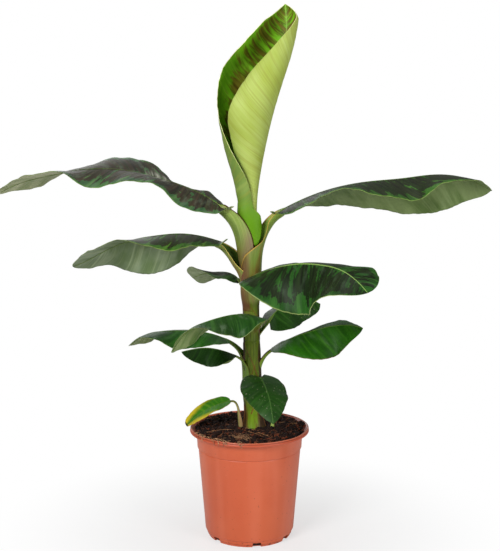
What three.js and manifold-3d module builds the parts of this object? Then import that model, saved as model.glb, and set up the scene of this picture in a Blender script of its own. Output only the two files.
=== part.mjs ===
// A young banana plant in a round nursery pot, in millimetres, +Z up.
// The origin is the middle of the flat underside of the pot.
// +X is to the plant's right and -Y is its front.

import * as THREE from "three";
import { mergeVertices } from "three/addons/utils/BufferGeometryUtils.js";
import Module from "manifold-3d";

const wasm = await Module();
wasm.setup();

const { degToRad, clamp, lerp } = THREE.MathUtils;

// ---------------------------------------------------------------- driving dimensions

const GAP = 0.3; // clearance between pieces that touch

const POT = {
  height: 196,
  lipRadius: 105, // outside of the rolled lip
  lipHeight: 8.5,
  collarTop: 94, // outer radii of the wall, from the lip down
  collarFoot: 92,
  bodyTop: 90.2,
  bodyFoot: 78,
  footRadius: 73,
  collarFootZ: 161,
  bodyTopZ: 157,
  footHeight: 11,
  wall: 1.8,
  floor: 2.4,
  splayFoot: 188.5, // the inside of the rim opens out from this height up
  splay: [
    [95.5, 191.3],
    [99, 193.8],
  ],
  sides: 48,
};

// Drainage slots round the foot, at these angles in degrees.
const NOTCH = { width: 15, height: 8.5, depth: 12, angles: [40, 100, 148, 220, 280, 328] };

const SOIL = {
  level: 192.5, // where the surface meets the rim
  edge: 96.2,
  moundHeight: 2.5,
  lumpHeight: 2.4,
  seatRadius: 36, // level ground under the foot of the stem
};

const STEM = {
  x: 8, // where the stem leaves the soil
  y: 0,
  lean: -8, // sideways drift of the top of the stem
  foot: SOIL.level + SOIL.moundHeight + GAP,
  top: 492,
  flareRadius: 23,
  footRadius: 18,
  topRadius: 16,
  flareHeight: 24,
};

const SUCKER = { x: 40, y: -8, radius: 4, height: 16 };

const COLOURS = { pot: 0xc9623f, soil: 0x3a2a20, stem: 0x6f7d2e, stalk: 0x86a552 };

// Angles are in degrees. A list gives values at even steps from the foot of the stalk, or of the
// blade, to its end.
// from: height at which the stalk leaves the stem. root: where it starts if that is not in the stem.
// heading: 0 points to +X, 90 to the back, 180 to -X and 270 to the front.
// foot: where the blade starts. tint: the blade's colour.
// stalk: its width at the stem and at the blade.
// rise: how steeply the rib climbs. roll: how far the blade is turned about it.
// left, right: how far each half of the blade, seen from its foot, droops from the rib; the halves
// turn by a further `curl` on their way from the rib to the margin, upwards where it is negative.
// curlLeft, curlRight: the same for each half. lobe: how far each half reaches back past the foot.
// width: of half the blade. fullLeft, fullRight: the shares of it that each half has.
// footWidth: the least width near the foot.
// blunt, taper: how full the foot and the tip are (0.5 is an ellipse).
const LEAVES = {
  top_right: {
    from: 425,
    heading: 0,
    foot: [46, -3, 574],
    tint: 0x474f3f,
    stalk: { wide: 42, tip: 20 },
    blade: {
      length: 382,
      rise: [30, 22, 12, 5, 7, -10, -34],
      width: 72,
      left: [8, 12, 22, 34, 43, 62, 80, 65, 40],
      right: [0, 1, -8, -4, 10, 21, 0, -9, -10],
      lobe: 8,
      taper: 0.4,
      curl: 15,
    },
  },
  top_left: {
    from: 440,
    heading: 180,
    foot: [-43, -5, 583],
    tint: 0x3f4640,
    stalk: { wide: 52, tip: 26 },
    blade: {
      length: 407,
      rise: [36, 22, 15, 4, -9, -14, -30],
      width: 68,
      left: [10, 28, 20, -2, 0, 14, 13, -12, -17, -18, -24],
      right: [-8, 8, 4, -12, -22, -22, -12, -4, 6, 12, 5],
      lobe: 12,
      curl: 15,
    },
  },
  second_left: {
    from: 405,
    heading: 186,
    foot: [-50, -7, 525],
    tint: 0x5b6450,
    stalk: { wide: 32, tip: 18 },
    blade: {
      length: 263,
      rise: [20, 10, -4, -9, -20, -29, -20],
      width: 68,
      left: [0, 5, 9, -2, -22, -27, -31],
      right: [-3, 28, 60, 72, 55, 26, 16],
      lobe: 6,
      curl: 15,
    },
  },
  second_right: {
    from: 412,
    heading: -45,
    foot: [11, -47, 474],
    tint: 0x26402b,
    stalk: { wide: 30, tip: 16 },
    blade: {
      length: 255,
      rise: [22, 18, 12, 3, -4, -24, -40],
      width: 84,
      left: [-20, -10, -3, 1, -1, -9, -20],
      right: [5, 20, 58, 72, 51, 25, 7],
      curl: 15,
      lobe: 19,
    },
  },
  third_left: {
    from: 370,
    heading: 155,
    foot: [-15, 15, 452],
    tint: 0x4b5a3e,
    stalk: { wide: 24, tip: 10 },
    blade: {
      length: 102,
      rise: [45, 28, 2, -6, -11, -20, -21],
      width: 34,
      left: [18, 5, 7, -5, -15, -20, -46],
      right: [26, 14, 13, 9, 15, 25, 35],
      taper: 0.28,
      curl: 15,
    },
  },
  third_right: {
    from: 325,
    heading: 35,
    foot: [34, 11, 384],
    tint: 0x1f4d1e,
    stalk: { wide: 24, tip: 12 },
    blade: {
      length: 125,
      rise: [48, 36, 20, 9, -5, -20, -28],
      width: 46,
      left: [10, 10, 10, 10, 10, 10, 10],
      right: [30, 45, 60, 72, 72, 62, 50],
      lobe: 14,
      blunt: 0.33,
      curl: 15,
    },
  },
  fourth_left: {
    from: 352,
    heading: 215,
    foot: [16, -46, 400],
    tint: 0x335c3c,
    stalk: { wide: 26, tip: 12 },
    blade: {
      length: 190,
      rise: [20, 10, -3, -9, -15, -42, -51],
      width: 56,
      left: [-10, 0, 23, 14, -5, -41, -43],
      right: [-11, 4, 19, 32, 43, 49, 34],
      lobe: 12,
      curl: 15,
    },
  },
  fourth_right: {
    from: 205,
    heading: -12,
    foot: [38, -6, 337],
    tint: 0x2f6a12,
    stalk: { wide: 30, tip: 13 },
    blade: {
      length: 169,
      rise: [31, 29, 21, 20, 12, 0, -18],
      width: 58,
      left: [-6, -1, 0, -3, -7, -4, 1],
      right: [0, 10, 27, 46, 62, 50, 30],
      curl: 15,
    },
  },
  fifth_left: {
    from: 212,
    heading: 174,
    foot: [-38, 10, 349],
    tint: 0x2a5a2a,
    stalk: { wide: 28, tip: 12 },
    blade: {
      length: 185,
      rise: [25, 13, 2, -2, -6, -27, -42],
      width: 50,
      left: [-6, 12, 18, 18, -3, -12, -8],
      right: [7, 10, 4, 3, 6, 24, 14],
      lobe: 8,
      curl: 15,
    },
  },
  sixth_left: {
    from: 215,
    heading: 195,
    foot: [-24, -18, 328],
    tint: 0x1d4015,
    stalk: { wide: 24, tip: 8 },
    blade: {
      length: 98,
      rise: [25, 22, 16, 8, -3, -9, -11],
      width: 34,
      left: [-5, 20, 45, 55, 49, 40, 26],
      right: [79, 60, 40, 14, 12, 11, 9],
      curl: 15,
    },
  },
  front: {
    from: 215,
    heading: 282,
    foot: [19, -36, 293],
    tint: 0x24472c,
    stalk: { wide: 24, tip: 9 },
    blade: {
      length: 118,
      rise: [-6, -10, -17, -25, -40, -52, -62],
      width: 42,
      left: [5, 10, 15, 15, 15, 15, 10],
      right: [0, 10, 15, 15, 15, 15, 10],
      curl: 10,
      blunt: 0.35,
      taper: 0.6,
      lobe: 20,
    },
  },
  lowest_left: {
    from: SOIL.level + SOIL.moundHeight + GAP,
    root: [-15, -4],
    heading: 188,
    foot: [-33, -3, 243],
    tint: 0x4f7a25,
    stalk: { wide: 14, tip: 8 },
    blade: {
      length: 90,
      rise: [-12, -16, -21, -29, -35, -42, -42],
      width: 20,
      left: [10, 12, 10, 12, 12, 8, 5],
      right: [-30, -30, -30, -30, -30, -35, -40],
      curl: 5,
      blunt: 0.35,
      taper: 0.4,
    },
  },
};

// The youngest leaf stands almost upright and is still rolled round on itself.
const SPEAR = {
  from: STEM.top + GAP,
  heading: 0,
  foot: [11.5, 4, 553],
  tint: 0x97b356,
  stalk: { wide: 34, tip: 38, round: true, foot: [0, 4, 553] },
  blade: {
    length: 376,
    rise: [95, 84, 79, 77, 77, 83, 86],
    roll: [0, 0, 5, 10, 30, 60, 80],
    width: 104,
    footWidth: 58,
    left: 0,
    right: 0,
    curlLeft: [-200, -270, -218, -165, -125, -120, -115],
    curlRight: [-130, -150, -156, -140, -165, -160, -140],
    fullLeft: [1, 1.17, 1.33, 1.24, 1.13, 1.02, 0.95],
    fullRight: [0.38, 0.4, 0.79, 1, 1, 1, 1],
    blunt: 0.6,
    taper: 0.55,
  },
};

// ---------------------------------------------------------------- shared shape helpers

/** A closed geometry as a manifold-3d solid. */
function solid(geometry) {
  const bare = geometry.index ? geometry.toNonIndexed() : geometry.clone();
  for (const name of Object.keys(bare.attributes)) if (name !== "position") bare.deleteAttribute(name);
  const merged = mergeVertices(bare, 1e-4);
  return new wasm.Manifold(
    new wasm.Mesh({
      numProp: 3,
      vertProperties: merged.attributes.position.array,
      triVerts: new Uint32Array(merged.index.array),
    }),
  );
}

/** A manifold-3d solid as a geometry. */
function geometryOf(body) {
  const { vertProperties, triVerts } = body.getMesh();
  return new THREE.BufferGeometry()
    .setAttribute("position", new THREE.BufferAttribute(new Float32Array(vertProperties), 3))
    .setIndex(new THREE.BufferAttribute(new Uint32Array(triVerts), 1));
}

/** What is left of a geometry, as one piece, when each of `rooms` is cut away from it. */
function cutClear(geometry, rooms) {
  const body = rooms.reduce((left, room) => left.subtract(room), solid(geometry));
  return geometryOf(body.decompose().sort((a, b) => b.volume() - a.volume())[0]);
}

/** Moves every corner of a geometry to where `place` puts it. */
function warp(geometry, place) {
  const corners = geometry.attributes.position;
  const corner = new THREE.Vector3();
  for (let i = 0; i < corners.count; i++) {
    const moved = place(corner.fromBufferAttribute(corners, i));
    corners.setXYZ(i, moved.x, moved.y, moved.z);
  }
  return geometry;
}

/** The value at t, from 0 to 1, of a quantity that is given at even steps. */
function along(steps, t) {
  if (typeof steps === "number") return steps;
  const last = steps.length - 1;
  const x = clamp(t, 0, 1) * last;
  const i = Math.min(Math.floor(x), last - 1);
  const f = x - i;
  const [a, b, c, d] = [i - 1, i, i + 1, i + 2].map((k) => steps[clamp(k, 0, last)]);
  return b + 0.5 * f * (c - a + f * (2 * a - 5 * b + 4 * c - d + f * (3 * (b - c) + d - a)));
}

/** The frame of a rib at one place: its point, and its directions along, to the right and up. */
function frameAt(point, riseDeg, headingDeg, rollDeg = 0) {
  const rise = degToRad(riseDeg);
  const heading = degToRad(headingDeg);
  const run = new THREE.Vector3(
    Math.cos(rise) * Math.cos(heading),
    Math.cos(rise) * Math.sin(heading),
    Math.sin(rise),
  );
  const level = new THREE.Vector3(Math.sin(heading), -Math.cos(heading), 0);
  const side = level.applyAxisAngle(run, degToRad(rollDeg));
  return { point, run, side, up: new THREE.Vector3().crossVectors(side, run) };
}

/** A rib that grows from `start`; the answer is a function of t that gives its frame there. */
function growRib(start, length, rise, heading, roll = 0) {
  const STEPS = 60;
  const turned = (point, t) => frameAt(point, along(rise, t), along(heading, t), along(roll, t));
  const frames = [turned(start.clone(), 0)];
  for (let i = 1; i <= STEPS; i++) {
    const { run } = turned(null, (i - 0.5) / STEPS);
    const point = frames[i - 1].point.clone().addScaledVector(run, length / STEPS);
    frames.push(turned(point, i / STEPS));
  }
  return (t) => {
    const x = clamp(t, 0, 1) * STEPS;
    const i = Math.min(Math.floor(x), STEPS - 1);
    const mix = (key) => frames[i][key].clone().lerp(frames[i + 1][key], x - i);
    return { point: mix("point"), run: mix("run"), side: mix("side"), up: mix("up") };
  };
}

// ---------------------------------------------------------------- pot and soil

/** Radius of the outside of the pot's wall at height z. */
function potWallRadius(z) {
  if (z >= POT.collarFootZ) {
    const share = (z - POT.collarFootZ) / (POT.height - POT.collarFootZ);
    return lerp(POT.collarFoot, POT.collarTop, share);
  }
  const share = (z - POT.footHeight) / (POT.bodyTopZ - POT.footHeight);
  return lerp(POT.bodyFoot, POT.bodyTop, clamp(share, 0, 1));
}

function makePot() {
  const lipRoll = POT.lipHeight * 0.35;
  const under = POT.height - POT.lipHeight;
  const inside = (z) => potWallRadius(z) - POT.wall;
  const profile = [
    [0, 0],
    [POT.footRadius - 1, 0],
    [POT.footRadius, 1],
    [POT.footRadius + 1, POT.footHeight - 0.8],
    [POT.bodyFoot, POT.footHeight],
    [POT.bodyTop, POT.bodyTopZ],
    [POT.collarFoot, POT.collarFootZ],
    [potWallRadius(under), under],
    [POT.lipRadius - 1.5, under],
    [POT.lipRadius, under + 1.5],
    [POT.lipRadius, POT.height - lipRoll],
    [POT.lipRadius - lipRoll, POT.height],
    ...POT.splay.toReversed(),
    [inside(POT.splayFoot), POT.splayFoot],
    [inside(POT.collarFootZ), POT.collarFootZ],
    [inside(POT.bodyTopZ), POT.bodyTopZ],
    [inside(POT.footHeight), POT.footHeight],
    [POT.footRadius - POT.wall, POT.footHeight - 1],
    [POT.footRadius - POT.wall - 1, POT.floor],
    [0, POT.floor],
  ].map(([r, z]) => new THREE.Vector2(r, z));
  const turned = new THREE.LatheGeometry(profile, POT.sides).rotateX(Math.PI / 2);
  let pot = solid(turned);
  for (const angle of NOTCH.angles) {
    const cutter = new THREE.BoxGeometry(NOTCH.depth * 2, NOTCH.width, NOTCH.height * 2)
      .translate(POT.footRadius + NOTCH.depth / 2, 0, 0)
      .rotateZ(degToRad(angle));
    pot = pot.subtract(solid(cutter));
  }
  return geometryOf(pot);
}

/** A little unevenness that repeats exactly from run to run, between -1 and 1. */
function lump(x, y) {
  const wave = Math.sin(x * 0.11 + 1.3) * Math.cos(y * 0.13 - 0.4) + Math.sin(x * 0.31 - y * 0.23 + 2);
  return wave / 2;
}

/** Compost that fills the pot, with an uneven top and level ground under the stem. */
function makeSoil() {
  const room = (z) => potWallRadius(z) - POT.wall - GAP;
  const rings = [16, SOIL.seatRadius, 46, 58, 70, 80];
  const low = POT.floor + GAP;
  const profile = [
    [0, low],
    [POT.footRadius - POT.wall - 1 - GAP, low],
    [POT.footRadius - POT.wall - GAP, POT.footHeight - 1 + GAP],
    [room(POT.footHeight) - 1, POT.footHeight + 1],
    [room(POT.bodyTopZ), POT.bodyTopZ],
    [room(POT.collarFootZ), POT.collarFootZ],
    [room(POT.splayFoot), POT.splayFoot + GAP],
    [SOIL.edge - 0.2, SOIL.level - 0.3],
    [SOIL.edge, SOIL.level],
    ...rings.reverse().map((r) => [r, SOIL.level + SOIL.moundHeight]),
    [0, SOIL.level + SOIL.moundHeight],
  ].map(([r, z]) => new THREE.Vector2(r, z));
  const turned = new THREE.LatheGeometry(profile, POT.sides).rotateX(Math.PI / 2);
  return warp(turned, (p) => {
    const fromStem = Math.hypot(p.x - STEM.x, p.y - STEM.y);
    if (p.z > SOIL.level + 1 && fromStem > SOIL.seatRadius) {
      const outward = clamp((fromStem - SOIL.seatRadius) / 40, 0, 1);
      p.z += SOIL.lumpHeight * lump(p.x, p.y) * outward - 2 * outward;
    }
    return p;
  });
}

// ---------------------------------------------------------------- stem

/** Middle and radius of the stem at height z. */
function stemAt(z) {
  const share = clamp((z - STEM.foot) / (STEM.top - STEM.foot), 0, 1);
  const flare = Math.max(0, 1 - (z - STEM.foot) / STEM.flareHeight);
  const skirt = (STEM.flareRadius - STEM.footRadius) * flare ** 2;
  return {
    x: STEM.x + STEM.lean * share,
    y: STEM.y,
    radius: lerp(STEM.footRadius, STEM.topRadius, share) + skirt,
  };
}

function makeStem(extra = 0) {
  const column = new THREE.CylinderGeometry(1, 1, 1, 20, 16).rotateX(Math.PI / 2);
  return warp(column, (p) => {
    const t = p.z + 0.5;
    const z = lerp(STEM.foot, STEM.top, t * 0.75 + 0.25 * t * t);
    const { x, y, radius } = stemAt(z);
    const end = p.z > 0.499 ? extra : p.z < -0.499 ? -extra : 0;
    return new THREE.Vector3(x + p.x * (radius + extra), y + p.y * (radius + extra), z + end);
  });
}

/** A side shoot that has just come up through the compost. */
function makeSucker() {
  const { x, y, radius, height } = SUCKER;
  const shoot = new THREE.CylinderGeometry(radius * 0.3, radius, height, 10, 3).rotateX(Math.PI / 2);
  return shoot.translate(x, y, STEM.foot + height / 2);
}

// ---------------------------------------------------------------- leaves

const STALK_STEPS = 8;

/** The line of a leaf's stalk: straight up from the middle of the stem, then over to its blade. */
function stalkLine({ from, heading, foot, stalk, blade, root = [stemAt(from).x, stemAt(from).y] }) {
  const start = new THREE.Vector3(...root, from);
  const end = new THREE.Vector3(...(stalk.foot ?? foot));
  const reach = start.distanceTo(end);
  const { run } = frameAt(null, along(blade.rise, 0), heading);
  const above = start.clone().add(new THREE.Vector3(0, 0, 0.55 * reach));
  return new THREE.CubicBezierCurve3(start, above, end.clone().addScaledVector(run, -0.3 * reach), end);
}

/** A stalk is a channel that hugs the stem and closes up towards the blade. */
function makeStalk(leaf, extra = 0) {
  const line = stalkLine(leaf);
  const { side: level } = frameAt(null, 0, leaf.heading);
  const { wide, tip, round } = leaf.stalk;
  const rod = new THREE.CylinderGeometry(1, 1, 1, 12, STALK_STEPS).rotateX(Math.PI / 2);
  return warp(rod, (p) => {
    const t = p.z + 0.5;
    const run = line.getTangentAt(t);
    const side = level.clone().addScaledVector(run, -level.dot(run)).normalize();
    const up = new THREE.Vector3().crossVectors(side, run);
    const size = (lerp(wide, tip, t) / 2) * (0.6 + 0.4 * Math.min(1, 3 * t));
    const hollow = !extra && !round && p.y > 0 && Math.abs(p.x) < 0.99;
    const height = hollow ? 0.75 * p.x * p.x * (1 - 0.5 * t) - 0.2 : p.y;
    const end = Math.abs(p.z) > 0.499 ? Math.sign(p.z) * extra : 0;
    return line
      .getPointAt(t)
      .addScaledVector(run, end)
      .addScaledVector(side, -p.x * (size + extra))
      .addScaledVector(up, height * (size + extra));
  });
}

/** Half of the blade's width at t: a blunt foot and a longer, pointed tip. */
function halfWidthAt(t, { width, footWidth = 1.5, blunt = 0.42, taper = 0.48 }) {
  const shape = (x) => x ** blunt * (1 - x) ** taper;
  const full = (width * shape(clamp(t, 0, 1))) / shape(blunt / (blunt + taper));
  return Math.max(t < 0.3 ? footWidth : 1.5, full);
}

/** A blade: a thin sheet on both sides of a rib that stands out below it. */
function makeBlade(leaf) {
  const { heading, foot, blade } = leaf;
  const { run: ahead } = frameAt(null, along(blade.rise, 0), heading);
  const start = new THREE.Vector3(...foot).addScaledVector(ahead, 2 * GAP);
  const rib = growRib(start, blade.length, blade.rise, heading, blade.roll);
  const thickness = blade.length / 100;
  const keelFoot = leaf.stalk.round ? 0 : 0.4 * leaf.stalk.tip;
  const rolled = Boolean(blade.curlLeft);
  const steps = rolled ? [18, 16, 1] : blade.length > 180 ? [18, 8, 1] : [12, 6, 1];
  const sheet = new THREE.BoxGeometry(1, 1, 1, ...steps);
  return warp(sheet, (p) => {
    const u = p.x + 0.5;
    const t = u - 0.09 * Math.sin(2 * Math.PI * u);
    const across = -2 * p.y;
    const hand = Math.sign(across);
    const q = Math.abs(across) ** (rolled ? 1 : 1.5);
    const { point, run, side, up } = rib(t);
    const full = (hand > 0 ? blade.fullRight : blade.fullLeft) ?? 1;
    const width = halfWidthAt(t, blade) * along(full, t);
    const droop = hand === 0 ? 0 : degToRad(along(hand > 0 ? blade.right : blade.left, t));
    const curl = hand > 0 ? (blade.curlRight ?? blade.curl) : (blade.curlLeft ?? blade.curl);
    const turn = degToRad(along(curl, t));
    const angle = droop + turn * q;
    const out = (width / turn) * (Math.sin(angle) - Math.sin(droop));
    const down = (width / turn) * (Math.cos(droop) - Math.cos(angle));
    const keel = hand === 0 && p.z < 0 ? 0.8 * thickness + keelFoot * (1 - t) ** 4 : 0;
    const lobe = (blade.lobe ?? 0) * q * (1 - t) ** 4;
    const normal = up.clone().multiplyScalar(hand ? Math.cos(angle) : 1);
    normal.addScaledVector(side, hand * Math.sin(angle));
    return point
      .addScaledVector(run, -lobe)
      .addScaledVector(side, hand * out)
      .addScaledVector(up, -down)
      .addScaledVector(normal, p.z * thickness - keel);
  });
}

// ---------------------------------------------------------------- the whole plant

const plant = new THREE.Group();

function add(name, geometry, color, roughness) {
  const material = new THREE.MeshStandardMaterial({ color, roughness, metalness: 0 });
  const mesh = new THREE.Mesh(geometry, material);
  mesh.name = name;
  plant.add(mesh);
}

add("pot", makePot(), COLOURS.pot, 0.55);
add("soil", makeSoil(), COLOURS.soil, 0.95);
add("stem", makeStem(), COLOURS.stem, 0.5);
add("sucker", makeSucker(), COLOURS.stalk, 0.5);

const leaves = Object.entries({ spear: SPEAR, ...LEAVES });
const rooms = [solid(makeStem(GAP))];
for (const [name, leaf] of leaves) {
  add(`stalk_${name}`, cutClear(makeStalk(leaf), rooms), COLOURS.stalk, 0.5);
  rooms.push(solid(makeStalk(leaf, GAP)));
}
for (const [name, leaf] of leaves) {
  add(`blade_${name}`, cutClear(makeBlade(leaf), rooms), leaf.tint, 0.45);
}

export default plant;
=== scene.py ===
# %% [markdown]
# # A young banana plant in a nursery pot
# The measured model gives the place and the size of every piece. This lesson dresses it: thin blades
# that ripple, stalks that are channels, a stem of wrapped sheaths, a moulded pot and loose compost.
# The first cell loads the measured model. It stays as it is, and the finer pieces take its place.

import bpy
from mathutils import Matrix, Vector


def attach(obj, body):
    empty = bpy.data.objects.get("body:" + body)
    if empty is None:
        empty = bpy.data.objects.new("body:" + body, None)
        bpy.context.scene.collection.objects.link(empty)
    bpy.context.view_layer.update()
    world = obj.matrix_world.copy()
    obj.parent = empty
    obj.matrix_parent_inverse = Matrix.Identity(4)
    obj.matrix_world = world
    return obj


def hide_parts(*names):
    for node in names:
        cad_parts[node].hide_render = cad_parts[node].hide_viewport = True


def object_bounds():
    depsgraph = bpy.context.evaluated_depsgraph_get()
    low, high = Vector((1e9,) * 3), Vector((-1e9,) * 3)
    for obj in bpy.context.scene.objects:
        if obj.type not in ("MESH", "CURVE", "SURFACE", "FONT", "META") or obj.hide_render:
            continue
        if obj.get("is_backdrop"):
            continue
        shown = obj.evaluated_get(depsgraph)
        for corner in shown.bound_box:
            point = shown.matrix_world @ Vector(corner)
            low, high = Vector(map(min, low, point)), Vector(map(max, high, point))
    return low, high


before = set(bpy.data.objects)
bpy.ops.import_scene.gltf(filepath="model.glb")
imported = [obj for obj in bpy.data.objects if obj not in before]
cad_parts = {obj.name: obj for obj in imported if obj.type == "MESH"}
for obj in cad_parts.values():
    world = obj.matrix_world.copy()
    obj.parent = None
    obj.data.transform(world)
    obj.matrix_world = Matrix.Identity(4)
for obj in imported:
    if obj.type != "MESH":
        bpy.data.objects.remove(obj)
measured_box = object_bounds()
print("measured pieces:", len(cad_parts))

# %% [markdown]
# Lengths below are in millimetres, as a grower would measure them, and Blender works in metres.
# Every random choice comes from a numbered seed, so that the plant grows the same way each time.

# %% Tools and units
import math

import bmesh
import bpy
import numpy as np
from mathutils import Matrix, Vector

MM = 0.001


def chance(seed):
    return np.random.default_rng(seed)


def into_scene(item):
    bpy.context.scene.collection.objects.link(item)
    return item


print("one millimetre is", MM, "m")

# %% [markdown]
# ## How finishes are written
# A finish is a graph of shader nodes. Written out by hand it is long, so a small class wraps the output
# of a node and lets Python's own signs add the arithmetic: `1 - mask` becomes a Math node.


# %% A wire that knows arithmetic
class Wire:
    def __init__(self, graph, socket):
        self.graph = graph
        self.socket = socket

    def maths(self, operation, *values):
        return self.graph.node("ShaderNodeMath", {"operation": operation}, dict(enumerate(values)))

    def __add__(self, other):
        return self.maths("ADD", self, other)

    def __sub__(self, other):
        return self.maths("SUBTRACT", self, other)

    def __rsub__(self, other):
        return self.maths("SUBTRACT", other, self)

    def __mul__(self, other):
        return self.maths("MULTIPLY", self, other)

    def __truediv__(self, other):
        return self.maths("DIVIDE", self, other)

    def __abs__(self):
        return self.maths("ABSOLUTE", self)

    __radd__ = __add__
    __rmul__ = __mul__


print("signs that a wire knows: + - * / abs")


# %% [markdown]
# Every other node comes from one method. It sets the node's own settings first, because they can
# change which sockets it has, and then fills its sockets with numbers or links. A finish starts from a
# base paint and takes more coats, each laid where its share is high. Colours are blended with Mix
# nodes, because a Math node would turn them grey.


# %% A finish and its nodes
def paint(code):
    """A colour as a painter's chart gives it, in the linear numbers that a shader wants."""
    parts = [int(code[i : i + 2], 16) / 255 for i in (1, 3, 5)]
    return tuple(((c + 0.055) / 1.055) ** 2.4 if c > 0.04 else c / 12.92 for c in parts) + (1.0,)


class Graph:
    """The nodes of any material or sky."""

    def __init__(self, owner):
        owner.use_nodes = True
        self.tree = owner.node_tree

    def set(self, node, inputs):
        for key, value in inputs.items():
            if isinstance(value, Wire):
                self.tree.links.new(value.socket, node.inputs[key])
            else:
                node.inputs[key].default_value = value

    def node(self, kind, settings, inputs, output=0):
        made = self.tree.nodes.new(kind)
        for key, value in settings.items():
            setattr(made, key, value)
        self.set(made, inputs)
        return Wire(self, made.outputs[output])


class Finish(Graph):
    def __init__(self, name, base, roughness=0.5, gloss=0.5):
        self.material = bpy.data.materials.new(name)
        super().__init__(self.material)
        self.shader = self.tree.nodes["Principled BSDF"]
        self.set(self.shader, {"Roughness": roughness, "Specular IOR Level": gloss})
        self.colour = paint(base)

    def split(self, vector):
        first = self.node("ShaderNodeSeparateXYZ", {}, {0: vector})
        return [Wire(self, socket) for socket in first.socket.node.outputs]

    def attribute(self, name):
        return self.split(self.node("ShaderNodeAttribute", {"attribute_name": name}, {}, 1))

    def place(self):
        return self.node("ShaderNodeTexCoord", {}, {}, 3)

    def noise(self, where, scale, detail, rough=0.5, warp=0.0):
        """Noise at a place, or at three wires that stand for its x, y and z."""
        if isinstance(where, tuple):
            where = self.node("ShaderNodeCombineXYZ", {}, dict(enumerate(where)))
        inputs = {"Vector": where, "Scale": scale, "Detail": detail, "Roughness": rough, "Distortion": warp}
        return self.node("ShaderNodeTexNoise", {}, inputs)

    def fade(self, value, low, high):
        settings = {"interpolation_type": "SMOOTHSTEP"}
        return self.node("ShaderNodeMapRange", settings, {"Value": value, "From Min": low, "From Max": high})

    def mix(self, share, first, second):
        return self.node("ShaderNodeMix", {"data_type": "RGBA"}, {0: share, 6: first, 7: second}, 2)

    def coat(self, tone, share):
        """Lay a paint, or a colour that is already mixed, over the colour so far."""
        self.colour = self.mix(share, self.colour, paint(tone) if isinstance(tone, str) else tone)

    def bump(self, height, distance, strength):
        inputs = {"Height": height, "Distance": distance, "Strength": strength}
        self.set(self.shader, {"Normal": self.node("ShaderNodeBump", {}, inputs)})

    def done(self, roughness=None):
        self.set(self.shader, {"Base Color": self.colour})
        if roughness is not None:
            self.set(self.shader, {"Roughness": roughness})
        return self.material


print("leaf green in linear numbers:", [round(c, 3) for c in paint("#335c3c")])

# %% [markdown]
# ## How pieces are handed over
# A mesh is bent by moving all of its corners at once as one array of numbers. Values that a finish
# needs later, such as how far a corner is from the midrib, are kept on the corners as attributes.


# %% Corners, notes and handing over
def to_mesh(bm, name):
    mesh = bpy.data.meshes.new(name)
    bm.to_mesh(mesh)
    bm.free()
    return mesh


def corners(mesh):
    flat = np.empty(len(mesh.vertices) * 3)
    mesh.vertices.foreach_get("co", flat)
    return flat.reshape(-1, 3)


def bend(mesh, places):
    mesh.vertices.foreach_set("co", (np.asarray(places) * MM).ravel())
    mesh.update()


def keep(mesh, name, *columns):
    values = np.stack([np.broadcast_to(c, len(mesh.vertices)) for c in columns], axis=1)
    note = mesh.attributes.new(name, "FLOAT_VECTOR", "POINT")
    note.data.foreach_set("vector", values.astype(np.float32).ravel())


def hand_over(name, mesh, finishes, slot, replaced=None):
    piece = into_scene(bpy.data.objects.new(name, mesh))
    for finish in finishes:
        mesh.materials.append(finish)
    mesh.polygons.foreach_set("use_smooth", [True] * len(mesh.polygons))
    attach(piece, "root")
    if replaced:
        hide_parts(replaced)
    return piece


print("pieces ride on: root")

# %% [markdown]
# ## Camera, light and floor
# The plant is seen from its front and a little from above, through a long lens that keeps the
# leaves true to size. A broad lamp at the upper left gives the leaves their sheen, weaker lamps fill
# the right side, the shadows and the back, and the pale floor carries one soft shadow under the pot.

# %% Camera
DOWNWARD = 9.05
camera = into_scene(bpy.data.objects.new("camera", bpy.data.cameras.new("camera")))
camera.location = (0.0009, -2.0, 0.784)
camera.rotation_euler = (math.radians(90 - DOWNWARD), 0, 0)
camera.data.lens = 76.45
bpy.context.scene.camera = camera
print("lens:", camera.data.lens, "mm")


# %% Lamps
MIDDLE = Vector((0, 0, 0.5))


def lamp(name, place, size, power):
    """A square lamp that is turned to the middle of the plant."""
    data = bpy.data.lights.new(name, "AREA")
    data.size = size
    data.energy = power
    item = into_scene(bpy.data.objects.new(name, data))
    item.location = place
    item.rotation_euler = (MIDDLE - Vector(place)).to_track_quat("-Z", "Y").to_euler()


lamp("key", (-1.2, -1.9, 1.5), 1.0, 50)
lamp("fill", (1.7, -1.7, 0.9), 1.0, 26)
lamp("top", (0.2, 0.1, 2.3), 1.0, 8)
lamp("back", (-0.8, 2.2, 1.3), 1.2, 9)
print("lamps: key, fill, top, back")


# %% Sky and floor
def seen_as_white(graph, shader, end, share):
    """What the camera sees directly is blended with plain white, as under a bright studio sweep."""
    white = graph.node("ShaderNodeEmission", {}, {})
    direct = graph.node("ShaderNodeLightPath", {}, {}) * share
    shaded = Wire(graph, shader.outputs[0])
    both = graph.node("ShaderNodeMixShader", {}, {0: direct, 1: shaded, 2: white})
    graph.set(graph.tree.nodes[end], {0: both})


world = bpy.data.worlds.new("studio")
bpy.context.scene.world = world
studio = Graph(world)
sky = studio.tree.nodes["Background"]
studio.set(sky, {"Color": (1, 1, 1, 1), "Strength": 0.28})
seen_as_white(studio, sky, "World Output", 1)
bpy.context.scene.view_settings.view_transform = "Standard"

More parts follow.
